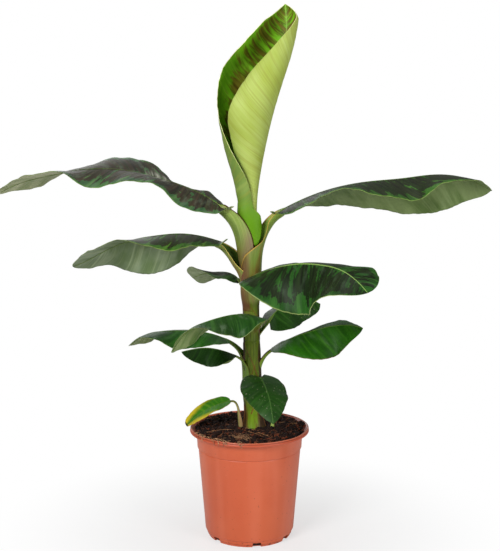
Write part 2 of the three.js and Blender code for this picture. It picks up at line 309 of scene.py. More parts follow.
bm = bmesh.new()
bmesh.ops.create_grid(bm, x_segments=2, y_segments=2, size=8)
paper = Finish("floor paper", "#e6e6e6", 0.8)
spot = paper.place()
paper.coat("#e2e2e2", paper.noise(spot, 40, 2))
away = paper.node("ShaderNodeVectorMath", {"operation": "LENGTH"}, {0: spot}, 1)
whiteness = 0.6 + paper.fade(away, 0.1, 0.5) * 0.4
seen_as_white(paper, paper.shader, "Material Output", whiteness)
floor = into_scene(bpy.data.objects.new("floor", to_mesh(bm, "floor")))
floor.data.materials.append(paper.done())
floor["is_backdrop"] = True
print("floor:", [round(size, 1) for size in floor.dimensions])

# %% [markdown]
# ## The pot
# A nursery pot is blown or moulded in thin plastic: a rolled lip to lift it by, a deep collar that
# stops pots from jamming when they are stacked, a tapering body and a stepped foot with drainage slots.
# Its wall is one outline turned about the middle, which is what a spin does. Sharp turns of the
# outline are then bevelled, since moulded plastic never has a sharp corner.

# %% Pot measures
POT = {
    "height": 196,
    "lip": 105,
    "lip_height": 7,
    "collar_top": 94,
    "collar_foot": 92,
    "body_top": 90.2,
    "body_foot": 78,
    "foot": 73,
    "collar_foot_z": 161,
    "body_top_z": 157,
    "foot_height": 11,
    "wall": 1.8,
    "floor": 2.4,
}
NOTCH = {"width": 15, "height": 8.5, "depth": 12, "angles": (40, 100, 148, 220, 280, 328)}


def wall_radius(z):
    if z >= POT["collar_foot_z"]:
        share = (z - POT["collar_foot_z"]) / (POT["height"] - POT["collar_foot_z"])
        return POT["collar_foot"] + share * (POT["collar_top"] - POT["collar_foot"])
    share = (z - POT["foot_height"]) / (POT["body_top_z"] - POT["foot_height"])
    return POT["body_foot"] + min(max(share, 0), 1) * (POT["body_top"] - POT["body_foot"])


print("wall radius at the rim:", wall_radius(POT["height"]), "mm")


# %% Turn and bevel an outline
def turned(outline, steps, bevel_mm=0.0, sharp=22):
    bm = bmesh.new()
    line = [bm.verts.new((r * MM, 0, z * MM)) for r, z in outline]
    edges = [bm.edges.new(pair) for pair in zip(line, line[1:])]
    bmesh.ops.spin(
        bm, geom=line + edges, cent=(0, 0, 0), axis=(0, 0, 1), angle=math.tau, steps=steps, use_merge=True
    )
    bmesh.ops.remove_doubles(bm, verts=bm.verts, dist=1e-6)
    bmesh.ops.recalc_face_normals(bm, faces=bm.faces)
    if bevel_mm:
        turns = [e for e in bm.edges if len(e.link_faces) == 2 and e.calc_face_angle() > math.radians(sharp)]
        bmesh.ops.bevel(
            bm, geom=turns, offset=bevel_mm * MM, affect="EDGES", segments=3, profile=0.5, material=-1
        )
    return bm


def inside(z):
    return wall_radius(z) - POT["wall"]


def near(radius, height, *steps):
    """Corners of an outline, given as steps outward and upward from one place on it."""
    return [(radius + out, height + up) for out, up in steps]


under_lip = POT["height"] - POT["lip_height"]
lip_profile = (-2.8, -0.4), (-0.7, -0.2), (0, 0.8), (-0.1, 2.8), (-1, 3.8), (-1.1, 4.8), (-0.4, 5.6)
lip_profile += (-0.9, 6.7), (-1.9, 7), (-2.8, 6.5)
pot_outline = [
    (0, 0),
    *near(POT["foot"], 0, (-1, 0), (0, 1), (0.8, 4.5), (2.2, 5), (2.6, 10.6)),
    *near(POT["body_foot"], POT["foot_height"], (-0.4, 0.4), (0.4, 2.5)),
    *near(POT["body_top"], POT["body_top_z"], (0, 1.6), (-0.5, 2.4), (-0.4, 3.2)),
    (POT["collar_foot"], POT["collar_foot_z"]),
    (wall_radius(under_lip), under_lip + 0.6),
    *near(POT["lip"], under_lip, *lip_profile),
    *near(inside(POT["height"]), POT["height"], (6.8, -2.2), (3.3, -4.7), (-0.4, -7.5)),
    *[(inside(z), z) for z in (under_lip - 7, POT["collar_foot_z"], POT["body_top_z"], POT["foot_height"])],
    (POT["foot"] - POT["wall"], POT["foot_height"] - 1),
    (POT["foot"] - POT["wall"] - 1, POT["floor"]),
    (0, POT["floor"]),
]
pot_bm = turned(pot_outline, 176, bevel_mm=0.35)
print("pot faces:", len(pot_bm.faces))

# %% [markdown]
# The drainage slots are cut through the foot ring with small blocks. A Boolean modifier does the cut,
# and its result is kept as the pot's own mesh so that nothing is left live on it.


# %% Cut the drainage slots
def with_cut(mesh, cutter):
    body = into_scene(bpy.data.objects.new("body", mesh))
    tool = into_scene(bpy.data.objects.new("tool", cutter))
    cut = body.modifiers.new("cut", "BOOLEAN")
    cut.operation = "DIFFERENCE"
    cut.object = tool
    bpy.context.view_layer.update()
    result = bpy.data.meshes.new_from_object(body.evaluated_get(bpy.context.evaluated_depsgraph_get()))
    bpy.data.objects.remove(body)
    bpy.data.objects.remove(tool)
    return result


slots_bm = bmesh.new()
block = Matrix.Diagonal((2 * NOTCH["depth"] * MM, NOTCH["width"] * MM, 2 * NOTCH["height"] * MM, 1))
reach = Matrix.Translation(((POT["foot"] + NOTCH["depth"] / 2) * MM, 0, 0))
for angle in NOTCH["angles"]:
    turn = Matrix.Rotation(math.radians(angle), 4, "Z")
    bmesh.ops.create_cube(slots_bm, size=1, matrix=turn @ reach @ block)
pot_mesh = with_cut(to_mesh(pot_bm, "pot"), to_mesh(slots_bm, "slots"))
print("pot faces with its slots:", len(pot_mesh.polygons))

# %% [markdown]
# The plastic is terracotta red all through, satin, with a faint haze, upright moulding streaks, level
# scuffs and a few specks of compost dust. Streaks and scuffs are noise that is stretched one way. The
# lip and the foot each have a darker line of painted shade, in the lip's groove and at the foot's step,
# and the top of the lip has a painted highlight.


# %% Pot finish
# Both darker lines are painted shade: one in the groove of the lip, one at the step of the foot ring.
LIP_GROOVE_SHADE, FOOT_STEP_SHADE = 0.1933, 0.0047  # heights of the two darker lines, in metres


def pot_finish():
    f = Finish("terracotta plastic", "#b9512c")
    place = f.place()
    x, y, z = f.split(place)
    haze = f.noise(place, 9, 3)
    upright = f.noise((x * 26, y * 26, z * 1.5), 1, 2)
    scuffs = f.noise((x * 60, y * 60, z * 220), 1, 4, 0.7)
    f.coat("#c05a34", f.fade(haze, 0.35, 0.65))
    f.coat("#c9694a", f.fade(upright, 0.42, 0.62) * 0.35)
    f.coat("#5a2f20", f.fade(f.noise(place, 300, 1), 0.74, 0.77) * 0.7)
    f.coat("#d58a70", f.fade(scuffs, 0.66, 0.74) * 0.25)
    f.coat("#a8411f", f.fade(z, (under_lip - 0.5) * MM, (under_lip + 0.5) * MM) * 0.75)
    # Painted shade along the groove of the lip.
    f.coat("#74280f", f.fade(abs(z - LIP_GROOVE_SHADE), 0.0011, 0.0004) * 0.6)
    # Painted highlight along the top edge of the lip.
    f.coat("#d98b6a", f.fade(z, 0.1948, 0.1956) * 0.4)
    at_foot = f.fade(z, 0.014, 0.005)
    f.coat("#3c1a0e", f.fade(f.noise(place, 190, 3), 0.6, 0.66) * at_foot * 0.7)
    # Painted shade along the step of the foot ring.
    f.coat("#74280f", f.fade(abs(z - FOOT_STEP_SHADE), 0.001, 0.0004) * 0.6)
    f.bump(f.noise(place, 1100, 2) * 0.3 + haze, 0.0006, 0.3)
    return f.done(0.34 + haze * 0.14)


pot = hand_over("nursery_pot", pot_mesh, [pot_finish()], "pot", "pot")
pot_mesh.set_sharp_from_angle(angle=math.radians(50))
print("pot box:", [round(size / MM) for size in pot.dimensions], "mm")

# %% [markdown]
# ## How a leaf is laid out
# A leaf is a midrib that grows forward from its stalk, and two halves that hang or rise from it. The
# same few measures describe all thirteen: how steeply the midrib climbs, how far each half droops, and
# how wide the blade is. A list gives values at even steps from the foot to the tip, read as a
# smooth curve.


# %% Read a list as a smooth curve
def along(steps, t):
    if np.isscalar(steps):
        return np.full_like(t, steps, dtype=float)
    steps = np.asarray(steps, float)
    last = len(steps) - 1
    x = np.clip(t, 0, 1) * last
    i = np.minimum(np.floor(x).astype(int), last - 1)
    f = x - i
    a, b, c, d = (steps[np.clip(i + k, 0, last)] for k in (-1, 0, 1, 2))
    return b + 0.5 * f * (c - a + f * (2 * a - 5 * b + 4 * c - d + f * (3 * (b - c) + d - a)))


print("half way along 0, 10, 30:", along([0, 10, 30], np.array([0.5])))


# %% Directions of a midrib and where it runs
RIB_STEPS = 240  # straight steps that a midrib is summed from


def directions(rise, heading, roll=0.0):
    """Directions along a rib, to its right and up, from angles in degrees."""
    rise, heading, roll = np.broadcast_arrays(*(np.radians(v) for v in (rise, heading, roll)))
    run = np.stack([np.cos(rise) * np.cos(heading), np.cos(rise) * np.sin(heading), np.sin(rise)], -1)
    level = np.stack([np.sin(heading), -np.cos(heading), np.zeros_like(heading)], -1)
    side = level * np.cos(roll)[..., None] + np.cross(run, level) * np.sin(roll)[..., None]
    return run, side, np.cross(side, run)


def start_direction(leaf):
    return directions(along(leaf["blade"]["rise"], np.zeros(1)), leaf["heading"])[0][0]


def grow(start, leaf, t):
    """Points of the midrib at the shares t of its length, and its directions there."""
    blade, heading = leaf["blade"], leaf["heading"]
    halves = (np.arange(RIB_STEPS) + 0.5) / RIB_STEPS
    run, _, _ = directions(along(blade["rise"], halves), heading)
    walked = np.vstack([np.zeros(3), np.cumsum(run * blade["length"] / RIB_STEPS, axis=0)]) + start
    marks = np.linspace(0, 1, RIB_STEPS + 1)
    point = np.stack([np.interp(t, marks, walked[:, k]) for k in range(3)], -1)
    roll = along(blade.get("roll", 0), t)
    return point, *directions(along(blade["rise"], t), heading, roll)


print("level and heading to the right:", directions(0, 0)[0])

# %% [markdown]
# Every measure hangs on two things: how high the compost lies, and how the stem leans and tapers.

# %% Stem measures
GAP = 0.3
SOIL_TOP = 195
STEM = {
    "x": 8,
    "lean": -8,
    "foot": SOIL_TOP + GAP,
    "top": 492,
    "flare_radius": 23,
    "foot_radius": 18,
    "top_radius": 16,
    "flare_height": 24,
}


def stem_at(z):
    share = np.clip((z - STEM["foot"]) / (STEM["top"] - STEM["foot"]), 0, 1)
    flare = np.maximum(0, 1 - (z - STEM["foot"]) / STEM["flare_height"])
    radius = STEM["foot_radius"] + share * (STEM["top_radius"] - STEM["foot_radius"])
    return STEM["x"] + STEM["lean"] * share, radius + (STEM["flare_radius"] - STEM["foot_radius"]) * flare**2


print("stem at 300 mm:", stem_at(300.0))


# %% [markdown]
# These are the measures of the leaves, from the top of the plant down. Start is the height where the
# stalk leaves the stem, foot is where the blade begins, and wide and tip are the stalk's widths at its
# two ends. Headings are in degrees: 0 is to the right, 90 to the back, 180 to the left and 270 to the
# front. The youngest leaf comes last: it stands almost upright and is still rolled round on itself.

# %% Leaf measures
LEAVES = {}


def plan_leaf(name, start, heading, foot, wide, tip, root=None, settle=1.5, stalk_foot=None, **blade):
    stalk = {"wide": wide, "tip": tip, "settle": settle, "foot": stalk_foot or foot}
    stalk["round"] = bool(stalk_foot)
    LEAVES[name] = {"from": start, "heading": heading, "foot": foot, "root": root}
    LEAVES[name].update(stalk=stalk, blade=blade)


plan_leaf(
    "top_right", start=425, heading=0, foot=[46, -3, 574], wide=42, tip=20,
    length=382, width=72, lobe=8, ear_right=12, taper=0.4,
    rise=[30, 22, 12, 5, 7, -10, -34],
    left=[8, 12, 22, 34, 43, 62, 80, 65, 40],
    right=[0, 1, -8, -4, 10, 21, 0, -9, -10],
)
plan_leaf(
    "top_left", start=440, heading=180, foot=[-43, -5, 583], wide=52, tip=26, settle=0.5,
    length=407, width=68, lobe=12, ear_left=19,
    rise=[36, 22, 15, 4, -9, -14, -30],
    left=[10, 28, 20, -2, 0, 14, 13, -12, -17, -18, -24],
    right=[-8, -11, 5, -12, -22, -22, -12, -4, 6, 12, 5],
)
plan_leaf(
    "second_left", start=405, heading=186, foot=[-50, -7, 525], wide=32, tip=18,
    length=263, width=68, lobe=9, ear_left=13,
    rise=[20, 10, -4, -9, -20, -29, -20],
    left=[0, 5, 9, -2, -22, -27, -31],
    right=[-3, 28, 60, 72, 55, 26, 16],
)
plan_leaf(
    "second_right", start=412, heading=-45, foot=[11, -47, 474], wide=30, tip=16,
    length=255, width=84, slant=-0.1, lobe=19,
    rise=[22, 18, 12, 3, -4, -24, -40],
    left=[-20, -10, -3, 1, -1, -9, -20],
    right=[5, 20, 58, 72, 51, 25, 7],
)
plan_leaf(
    "third_left", start=370, heading=155, foot=[-15, 15, 452], wide=24, tip=10,
    length=102, width=34, taper=0.26,
    rise=[45, 28, 2, -6, -11, -20, -21],
    left=[18, 5, 7, -8, -26, -44, -50],
    right=[26, 14, 13, 9, 15, 25, 35],
)
plan_leaf(
    "third_right", start=325, heading=35, foot=[34, 11, 384], wide=24, tip=12,
    length=125, width=46, lobe=14, blunt=0.33,
    rise=[48, 36, 20, 9, -5, -20, -28],
    left=[10, 10, 10, 10, 10, 10, 10],
    right=[30, 45, 60, 72, 72, 62, 50],
)
plan_leaf(
    "fourth_left", start=352, heading=215, foot=[16, -46, 400], wide=26, tip=12,
    length=190, width=56, lobe=12,
    rise=[20, 10, -3, -9, -15, -42, -51],
    left=[-10, 0, 23, 14, -5, -41, -43],
    right=[-11, 4, 19, 32, 43, 49, 34],
)
plan_leaf(
    "fourth_right", start=205, heading=-12, foot=[38, -6, 337], wide=30, tip=13,
    length=169, width=58,
    rise=[31, 29, 21, 20, 12, 0, -18],
    left=[-6, -1, 0, -3, -7, -4, 1],
    right=[0, 10, 27, 46, 62, 50, 30],
)
plan_leaf(
    "fifth_left", start=212, heading=174, foot=[-38, 10, 349], wide=28, tip=12,
    length=185, width=50, lobe=8,
    rise=[25, 13, 2, -2, -6, -27, -42],
    left=[-6, 12, 18, 18, -3, -12, -8],
    right=[7, 10, 4, 3, 6, 24, 14],
)
plan_leaf(
    "sixth_left", start=215, heading=195, foot=[-24, -18, 328], wide=24, tip=8,
    length=98, width=34,
    rise=[25, 22, 16, 8, -3, -9, -11],
    left=[-5, 20, 45, 55, 49, 40, 26],
    right=[79, 60, 40, 14, 12, 11, 9],
)
plan_leaf(
    "front", start=215, heading=282, foot=[19, -36, 293], wide=24, tip=9,
    length=118, width=42, point=0.35, curl=10, blunt=0.35, taper=0.78, lobe=20,
    rise=[-6, -10, -17, -25, -40, -52, -62],
    left=[5, 10, 15, 15, 15, 15, 10],
    right=[0, 10, 15, 15, 15, 15, 10],
)
plan_leaf(
    "lowest_left", start=STEM["foot"], heading=188, foot=[-33, -3, 243], root=[-15, -4],
    wide=14, tip=8,
    length=90, width=20, curl=5, blunt=0.35, taper=0.4,
    rise=[-12, -16, -21, -29, -35, -42, -42],
    left=[10, 12, 10, 12, 12, 8, 5],
    right=[-30, -30, -30, -30, -30, -35, -40],
)
plan_leaf(
    "spear", start=STEM["top"] + GAP, heading=0, foot=[13.5, 4, 553], wide=34, tip=38,
    stalk_foot=[0, 4, 553],
    length=376, width=104, foot_width=58, flap_left=34, tuck_left=22, ear_left=-10,
    ear_ends=(0.04, 0.085), point=0.45, blunt=0.6, taper=0.55,
    rise=[94, 83, 79, 77, 78, 86, 97],
    roll=[0, 0, 5, 10, 30, 60, 80],
    curl_left=[-330, -285, -218, -165, -125, -115, -95],
    curl_right=[-130, -150, -156, -140, -165, -150, -74],
    full_left=[1.75, 1.4, 1.42, 1.34, 1.22, 1.12, 0.95],
    full_right=[0.42, 0.46, 0.84, 1.05, 0.97, 0.9, 1.0],
)
print("leaves:", len(LEAVES))


# %% [markdown]
# ## The blade of a leaf
# A blade is a thin sheet, so it starts as one fine grid and every corner is moved to its place on
# the leaf: out from the midrib along a curve that droops or rises. Living leaves are never ironed
# flat. Long slow waves grow towards the margin, and between the side veins the sheet swells a little,
# so that light runs across it in ribs. Modelling these in the mesh rather than in a picture keeps
# them true from every side.


# %% Width of a blade
def smooth(x, low, high):
    """A soft step from 0 at low to 1 at high."""
    x = np.clip((x - low) / (high - low), 0, 1)
    return x * x * (3 - 2 * x)


def half_width(t, blade):
    blunt, taper = blade.get("blunt", 0.42), blade.get("taper", 0.48)

    def shape(x):
        return x**blunt * (1 - x) ** taper

    foot = blade.get("foot_width", 0.27 * blade["width"])
    width = blade["width"] * shape(np.clip(t, 0, 1)) / shape(blunt / (blunt + taper))
    width = width * np.minimum(1, (1 - t) / 0.07) ** blade.get("point", 0)
    return np.maximum(np.where(t < 0.3, foot, 0.8), width)


def ripple(x, lengths, rng):
    """Waves of several lengths, in millimetres, that never line up."""
    return sum(np.sin(math.tau * (x / span + rng.random())) for span in lengths) / len(lengths)


spear_width = half_width(np.array([0.5]), LEAVES["spear"]["blade"])[0]
print("fullest half width of the spear:", spear_width.round(1), "mm")

# %% [markdown]
# The side veins leave the midrib at a slant, so a place on the blade is also known by the vein it lies
# on. The small swellings follow the veins, and so will the colours.

# %% Place every corner of a blade
BIG_LEAF = 400  # length of a blade whose waves have their full size
CROWDING = 0.09  # how far rows of corners are drawn towards foot and tip
CALM = 0.35  # share of the waves that a rolled leaf has
HEIGHTS = {"wave": 3.4, "frill": 0.9, "swell": 0.2, "ridge": 0.7}
CURL = 15  # degrees by which a half usually bends down from the midrib to the margin


def rib_half_width(s, t, leaf):
    """Half of the midrib's width, in millimetres, at s mm along the blade."""
    tip = leaf["stalk"]["tip"] / 2
    slim = 0.5 + 0.0036 * leaf["blade"]["length"] * (1 - t) ** 0.8
    return slim + np.maximum(0, 0.75 * tip - slim) * np.exp(-s / (0.8 * tip))


def lay_blade(grid, leaf, seed):
    blade = leaf["blade"]
    size = blade["length"] / BIG_LEAF
    rolled = "curl_left" in blade
    rng = chance(seed)
    u, across = grid[:, 0] + 0.5, -2 * grid[:, 1]
    t = u - CROWDING * np.sin(math.tau * u)
    hand, q = np.sign(across), np.abs(across) ** (1.0 if rolled else 1.4)
    point, run, side, up = grow(np.array(leaf["foot"]) + start_direction(leaf) * 2 * GAP, leaf, t)
    s = t * blade["length"]

    def pick(key, other=0.0):
        left, right = blade.get(key + "left", other), blade.get(key + "right", other)
        return np.where(hand > 0, along(right, t), along(left, t))

    def waves(x, shift, *lengths):
        """Ripples that differ between the two halves of the blade."""
        return ripple(x + shift * (hand > 0), lengths, rng)

    nicked = (0.004 if rolled else 0.012) * (1 + waves(s, 500, 13, 31, 47)) * (1 - (2 * t - 1) ** 8)
    width = half_width(t, blade) * pick("full_", 1.0) * (1 - nicked)
    droop = np.radians(pick(""))
    turn = np.radians(pick("curl_", blade.get("curl", CURL)))
    angle = droop + turn * q
    out = width / turn * (np.sin(angle) - np.sin(droop))
    down = width / turn * (np.cos(droop) - np.cos(angle))
    lobe = blade.get("lobe", 0) * q * (1 - t) ** 4
    lobe += pick("flap_") * np.sin(math.pi * q**5) * (1 - t) ** 20
    lobe += pick("tuck_") * np.sin(math.pi * np.clip(q / 0.8, 0, 1)) * (1 - t) ** 12
    ear = pick("ear_") * q**2.5 * (1 - smooth(t, *blade.get("ear_ends", (0, 0.045))))

    reach = q * width
    slant = blade.get("slant", 0.3) + 0.7 * t**3 - 0.5 * (1 - t) ** 6
    vein = s - slant * reach - 0.12 * reach * q
    ends = np.clip(t / 0.08, 0, 1) * np.clip((1 - t) / 0.08, 0, 1)
    calm = size * (CALM if rolled else 1.0)
    wave = HEIGHTS["wave"] * calm * q**2 * waves(s, 300, 120 * size + 12, 71 * size + 9)
    frill = HEIGHTS["frill"] * calm * q**4 * waves(s, 90, 29 * size + 5, 19 * size + 4)
    swell = HEIGHTS["swell"] * (size + 0.35) * np.clip(q / 0.12, 0, 1) * waves(vein, 60, 9, 13, 21)
    on_rib = np.exp(-((reach / rib_half_width(s, t, leaf)) ** 4))
    ridge = 0 if rolled else HEIGHTS["ridge"] * (size + 0.3) * on_rib
    rise = (wave + frill + swell) * ends + ridge
    normal = up * np.cos(angle)[:, None] + side * (hand * np.sin(angle))[:, None]
    places = point - run * lobe[:, None] + side * (hand * out)[:, None] + up * (ear - down)[:, None]
    return places + normal * rise[:, None], (vein, hand * reach, s, t, q, reach)


print("corners are laid out in millimetres and bent into metres")

# %% [markdown]
# The sheet gets its thickness from a Solidify modifier, which can give its upper face, its underside
# and its rim three different finishes. That is just what a leaf needs: a green or mottled top, a pale
# waxy underside and a thin light margin.


# %% Make a blade
def make_blade(name, finishes, seed):
    leaf = LEAVES[name]
    blade = leaf["blade"]
    lengthways = int(min(240, max(90, blade["length"] / 1.8)))
    crossways = 110 if "curl_left" in blade else 64
    bm = bmesh.new()
    bmesh.ops.create_grid(bm, x_segments=lengthways, y_segments=crossways, size=0.5)
    mesh = to_mesh(bm, "blade_" + name)
    places, (vein, across, s, t, q, reach) = lay_blade(corners(mesh), leaf, seed)
    bend(mesh, places)
    keep(mesh, "leaf_metres", vein * MM, across * MM, s * MM)
    keep(mesh, "leaf_share", t, q, reach / rib_half_width(s, t, leaf))
    piece = hand_over("leaf_" + name, mesh, finishes, "blade_" + name, "blade_" + name)
    thick = piece.modifiers.new("thickness", "SOLIDIFY")
    thick.thickness = (0.5 + 0.35 * blade["length"] / BIG_LEAF) * MM
    thick.offset = 0.0
    thick.material_offset = 1
    thick.material_offset_rim = 2


print("midrib of the top left leaf, half way:", rib_half_width(200, 0.5, LEAVES["top_left"]).round(2), "mm")

# %% [markdown]
# ## Leaf finishes
# This plant is a mottled kind. The top of a leaf is green with wine-brown patches that run out
# along the side veins, over a finer streaking and a slow cloudiness. All of them are noise on
# coordinates that follow the veins, squeezed along one axis so that a speck becomes a streak. Older
# leaves low on the plant lose the patches, so one recipe with a short list of paints serves them all.


# %% Top of a leaf
LOOK = {
    "deep": "#122a08",
    "green": "#234a10",
    "light": "#4f7f2c",
    "patch": "#0d0906",
    "patch_light": "#221812",
    "patches": 0.0,
    "patch_size": 1.0,
    "fuzzy": 0.0,
    # paint and strength of a painted sheen: pale streaks that stand in for reflected light
    "sheen": "#7f8f7a",
    "painted_sheen": 0.0,
    # share along the blade where a painted highlight lies, if any
    "glint": None,
    "margin": "#587230",
    "rib": "#5f7a30",
    "rib_strength": 0.6,
    "dust": 0.0,
    "dusty_from": 0.74,
    "gold": None,
}
GLOSS = 0.2
SHINE = (0.72, 0.78, 0.7, 1)  # a reflection that is a little green


def leaf_finish(name, base):
    """A finish with a leaf's dull shine, and the wires that say where on the leaf a place is."""
    f = Finish(name, base, gloss=GLOSS)
    f.set(f.shader, {"Specular Tint": SHINE})
    return f, f.attribute("leaf_metres"), f.attribute("leaf_share")


def leaf_top(name, seed, **changes):
    look = {**LOOK, **changes}
    f, (vein, across, _), (t, q, rib) = leaf_finish(name + " top", look["deep"])
    fine = f.noise((vein * 700, across * 22, seed), 1, 2)
    streak = f.noise((vein * 150, across * 9, seed + 3.3), 1, 3)
    cloud = f.noise((vein * 22, across * 9, seed + 7.1), 1, 3)
    f.coat(look["green"], f.fade(cloud, 0.35, 0.65))
    f.coat(look["light"], f.fade(streak, 0.45, 0.75) * 0.45)
    if look["patches"]:
        size = look["patch_size"]
        blot = f.noise((vein * 75 / size, across * 20 / size, seed + 11.7), 1, 4, 0.62, 0.5)
        where = blot + look["patches"] - f.fade(q, 0.66, 0.98) * 0.22 - f.fade(q, 0.12, 0.0) * 0.05
        stain = f.fade(where, 0.52 - look["fuzzy"] / 2, 0.55 + look["fuzzy"])
        tone = f.mix(f.fade(streak, 0.35, 0.65), paint(look["patch"]), paint(look["patch_light"]))
        f.coat(tone, stain * 0.95)
    # Painted sheen: pale grey streaks that stand in for light reflected by the glossy top.
    if look["painted_sheen"]:
        haze = f.noise((vein * 80, across * 30, seed + 17.9), 1, 4, 0.6)
        f.coat(look["sheen"], f.fade(haze, 0.5, 0.72) * look["painted_sheen"])
    # Painted highlight: a pale glint on the top of the leaf, near the midrib, at one share of its length.
    if look["glint"]:
        painted_highlight = f.fade(abs(t - look["glint"]), 0.07, 0.01) * f.fade(q, 0.5, 0.1) * f.fade(streak, 0.42, 0.62)
        f.coat("#b4b6a6", painted_highlight * 0.75)
    f.coat(look["light"], f.fade(fine, 0.3, 0.8) * 0.12)
    if look["gold"]:
        fading = f.fade(q * 0.55 + (cloud - 0.5) * 0.8 + t * 0.75, 0.66, 1.0)
        f.coat(look["gold"], fading * 0.85)
        f.coat("#1c110a", f.fade(t + (cloud - 0.5) * 0.06, 0.955, 0.975))
    f.coat(look["margin"], f.fade(q, 0.972, 0.998) * 0.7)
    if look["dust"]:
        specks = f.noise((vein * 330, across * 330, seed), 1, 1)
        f.coat("#a8a08c", f.fade(specks, look["dusty_from"], look["dusty_from"] + 0.04) * look["dust"])
    f.coat(look["rib"], f.fade(rib, 1.3, 0.8) * look["rib_strength"])
    f.bump(fine * 0.4 + streak, 0.0004, 0.2)
    return f.done(0.46 + (fine - 0.5) * 0.25 + f.fade(streak, 0.4, 0.7) * 0.06)


print("paints and measures in a leaf's recipe:", len(LOOK))

# %% [markdown]
# The underside is duller and paler, with a bloom of wax over fine raised veins, and it shows the
# midrib as a stout yellow-green ridge. The rim of the sheet is a thin line of paler tissue.


# %% Underside and margin
UNDER = {
    "pale": "#8f9c76",
    "green": "#6f804e",
    "streaks": "#a9b48c",
    "veined": 0.3,
    "thread": "#6f804e",
    "lines": 0.25,
    "left": None,
    "foot": None,
}


def leaf_under(name, seed, **changes):
    look = {**UNDER, **changes}
    f, (vein, across, _), (t, q, _) = leaf_finish(name + " underside", look["green"])
    fine = f.noise((vein * 620, across * 12, seed + 1.1), 1, 2)
    cloud = f.noise((vein * 30, across * 14, seed + 5.5), 1, 3)
    veins = f.noise((vein * 170, across * 6, seed + 9.2), 1, 2)
    left_half = f.fade(across, 0.004, -0.004)
    f.coat(look["pale"], f.fade(cloud, 0.35, 0.65))
    f.coat(look["streaks"], f.fade(veins, 0.5, 0.7) * look["veined"])
    if look["left"]:
        f.coat(look["left"], left_half * (0.9 - f.fade(veins, 0.5, 0.8) * 0.3))
    f.coat(look["thread"], f.fade(fine, 0.42, 0.72) * look["lines"])
    if look["foot"]:
        f.coat(look["foot"], f.fade(t, 0.17, 0.04) * left_half)
    f.coat(look["pale"], f.fade(q, 0.985, 0.998) * 0.5)
    f.bump(fine * 0.3 + veins, 0.0005, 0.2)
    return f.done(0.52 + (fine - 0.5) * 0.2)


def leaf_margin(name, tone, dark):
    f = Finish(name + " margin", tone, 0.6)
    _, across, s = f.attribute("leaf_metres")
    f.coat(dark, f.fade(f.noise((s * 60, across * 5, 2.0), 1, 3), 0.45, 0.65))
    return f.done()


def finishes_for(name, seed, top, under=None, margin=("#6d8040", "#4a4a20")):
    return [leaf_top(name, seed, **top), leaf_under(name, seed, **(under or {})), leaf_margin(name, *margin)]


print("each blade carries three finishes")

# %% Paints of each leaf
PAINTS = {
    "top_left": dict(
        top=dict(deep="#22402a", green="#3f6638", light="#6a8f54", patches=0.135, patch="#1d1013",
                 patch_light="#3a2624", patch_size=0.7, painted_sheen=0.2, margin="#568a24", rib_strength=0.25,
                 glint=0.31),
        under=dict(pale="#a5a884", green="#7f8a5e"),
    ),
    "top_right": dict(
        top=dict(deep="#1c3a14", green="#33601c", light="#5f8f34", patches=0.15, patch="#0c0807",
                 patch_light="#1c1512", patch_size=0.7, margin="#7c9a44"),
        under=dict(pale="#6f8050", green="#516634", streaks="#7f9060"),
    ),
    "second_left": dict(
        top=dict(deep="#1e4010", green="#36661a", light="#6a963a", patches=0.1, patch_size=0.75,
                 margin="#86a04c"),
        under=dict(pale="#78866a", green="#566844"),
    ),
    "second_right": dict(
        top=dict(deep="#0f280a", green="#205014", light="#447a2c", patches=0.09, patch="#080803",
                 patch_light="#141409", patch_size=0.75, painted_sheen=0.12, sheen="#6f8a6c", margin="#a5b56c",
                 rib="#8fae5c", rib_strength=0.7),
        margin=("#a5b56c", "#7d8f4a"),
    ),
    "third_left": dict(
        top=dict(deep="#162e10", green="#284a1c", light="#507535", patches=0.05, painted_sheen=0.3),
        under=dict(pale="#b0b898", green="#8f9c76", streaks="#bcc4a4"),
    ),
    "third_right": dict(top=dict(deep="#0f2c05", green="#20480d", light="#3c6e20", dust=0.8, painted_sheen=0.05)),
    "fourth_left": dict(
        top=dict(deep="#15380f", green="#25561a", light="#4f8436", painted_sheen=0.35, margin="#8fa05a"),
        under=dict(pale="#8a9a66", green="#5d7a3c"),
    ),
    "fourth_right": dict(
        top=dict(deep="#113a02", green="#225a06", light="#3f7a14", margin="#6e3a1c", painted_sheen=0.1),
    ),
    "fifth_left": dict(top=dict(deep="#103408", green="#205212", light="#3f7a26", painted_sheen=0.12)),
    "sixth_left": dict(top=dict(deep="#071a02", green="#0f2e04", light="#264c10")),
    "front": dict(
        top=dict(deep="#12300a", green="#1f4410", light="#34601e", dust=0.6, dusty_from=0.69, painted_sheen=0.2,
                 sheen="#587444", margin="#5a4326", rib="#4f7434", rib_strength=0.45),
        margin=("#9a8a5a", "#6a4426"),
    ),
    "lowest_left": dict(
        top=dict(deep="#24590f", green="#34760f", light="#6f9a1c", margin="#d9a82c", gold="#c8b022"),
        under=dict(pale="#7f9a4e", green="#5f8a38"),
        margin=("#cf9a34", "#8a4a20"),
    ),
    "spear": dict(
        top=dict(deep="#56980e", green="#78bc1c", light="#a0d044", patches=0.08, patch="#4a300e",
                 patch_light="#6b5518", fuzzy=0.09, margin="#6fa52c", rib="#a5bf5c", rib_strength=0.5),
        under=dict(pale="#a6b75c", green="#9aaa48", streaks="#b2be72", veined=0.28, thread="#8c8c3c",
                   lines=0.5, left="#64803a", foot="#5a8a0c"),
        margin=("#dfe0a4", "#b9b56f"),
    ),
}

for number, name in enumerate(LEAVES):
    make_blade(name, finishes_for(name, number * 3.7, **PAINTS[name]), 40 + number)
print("blades made:", len(PAINTS))

# %% [markdown]
# ## The stem
# What looks like a trunk is a roll of leaf sheaths, each wrapped round the younger ones inside it. The
# stem is a rod bent to the lean of the plant, and each sheath ends in an edge that climbs round it,
# where the surface steps out by a millimetre or less.


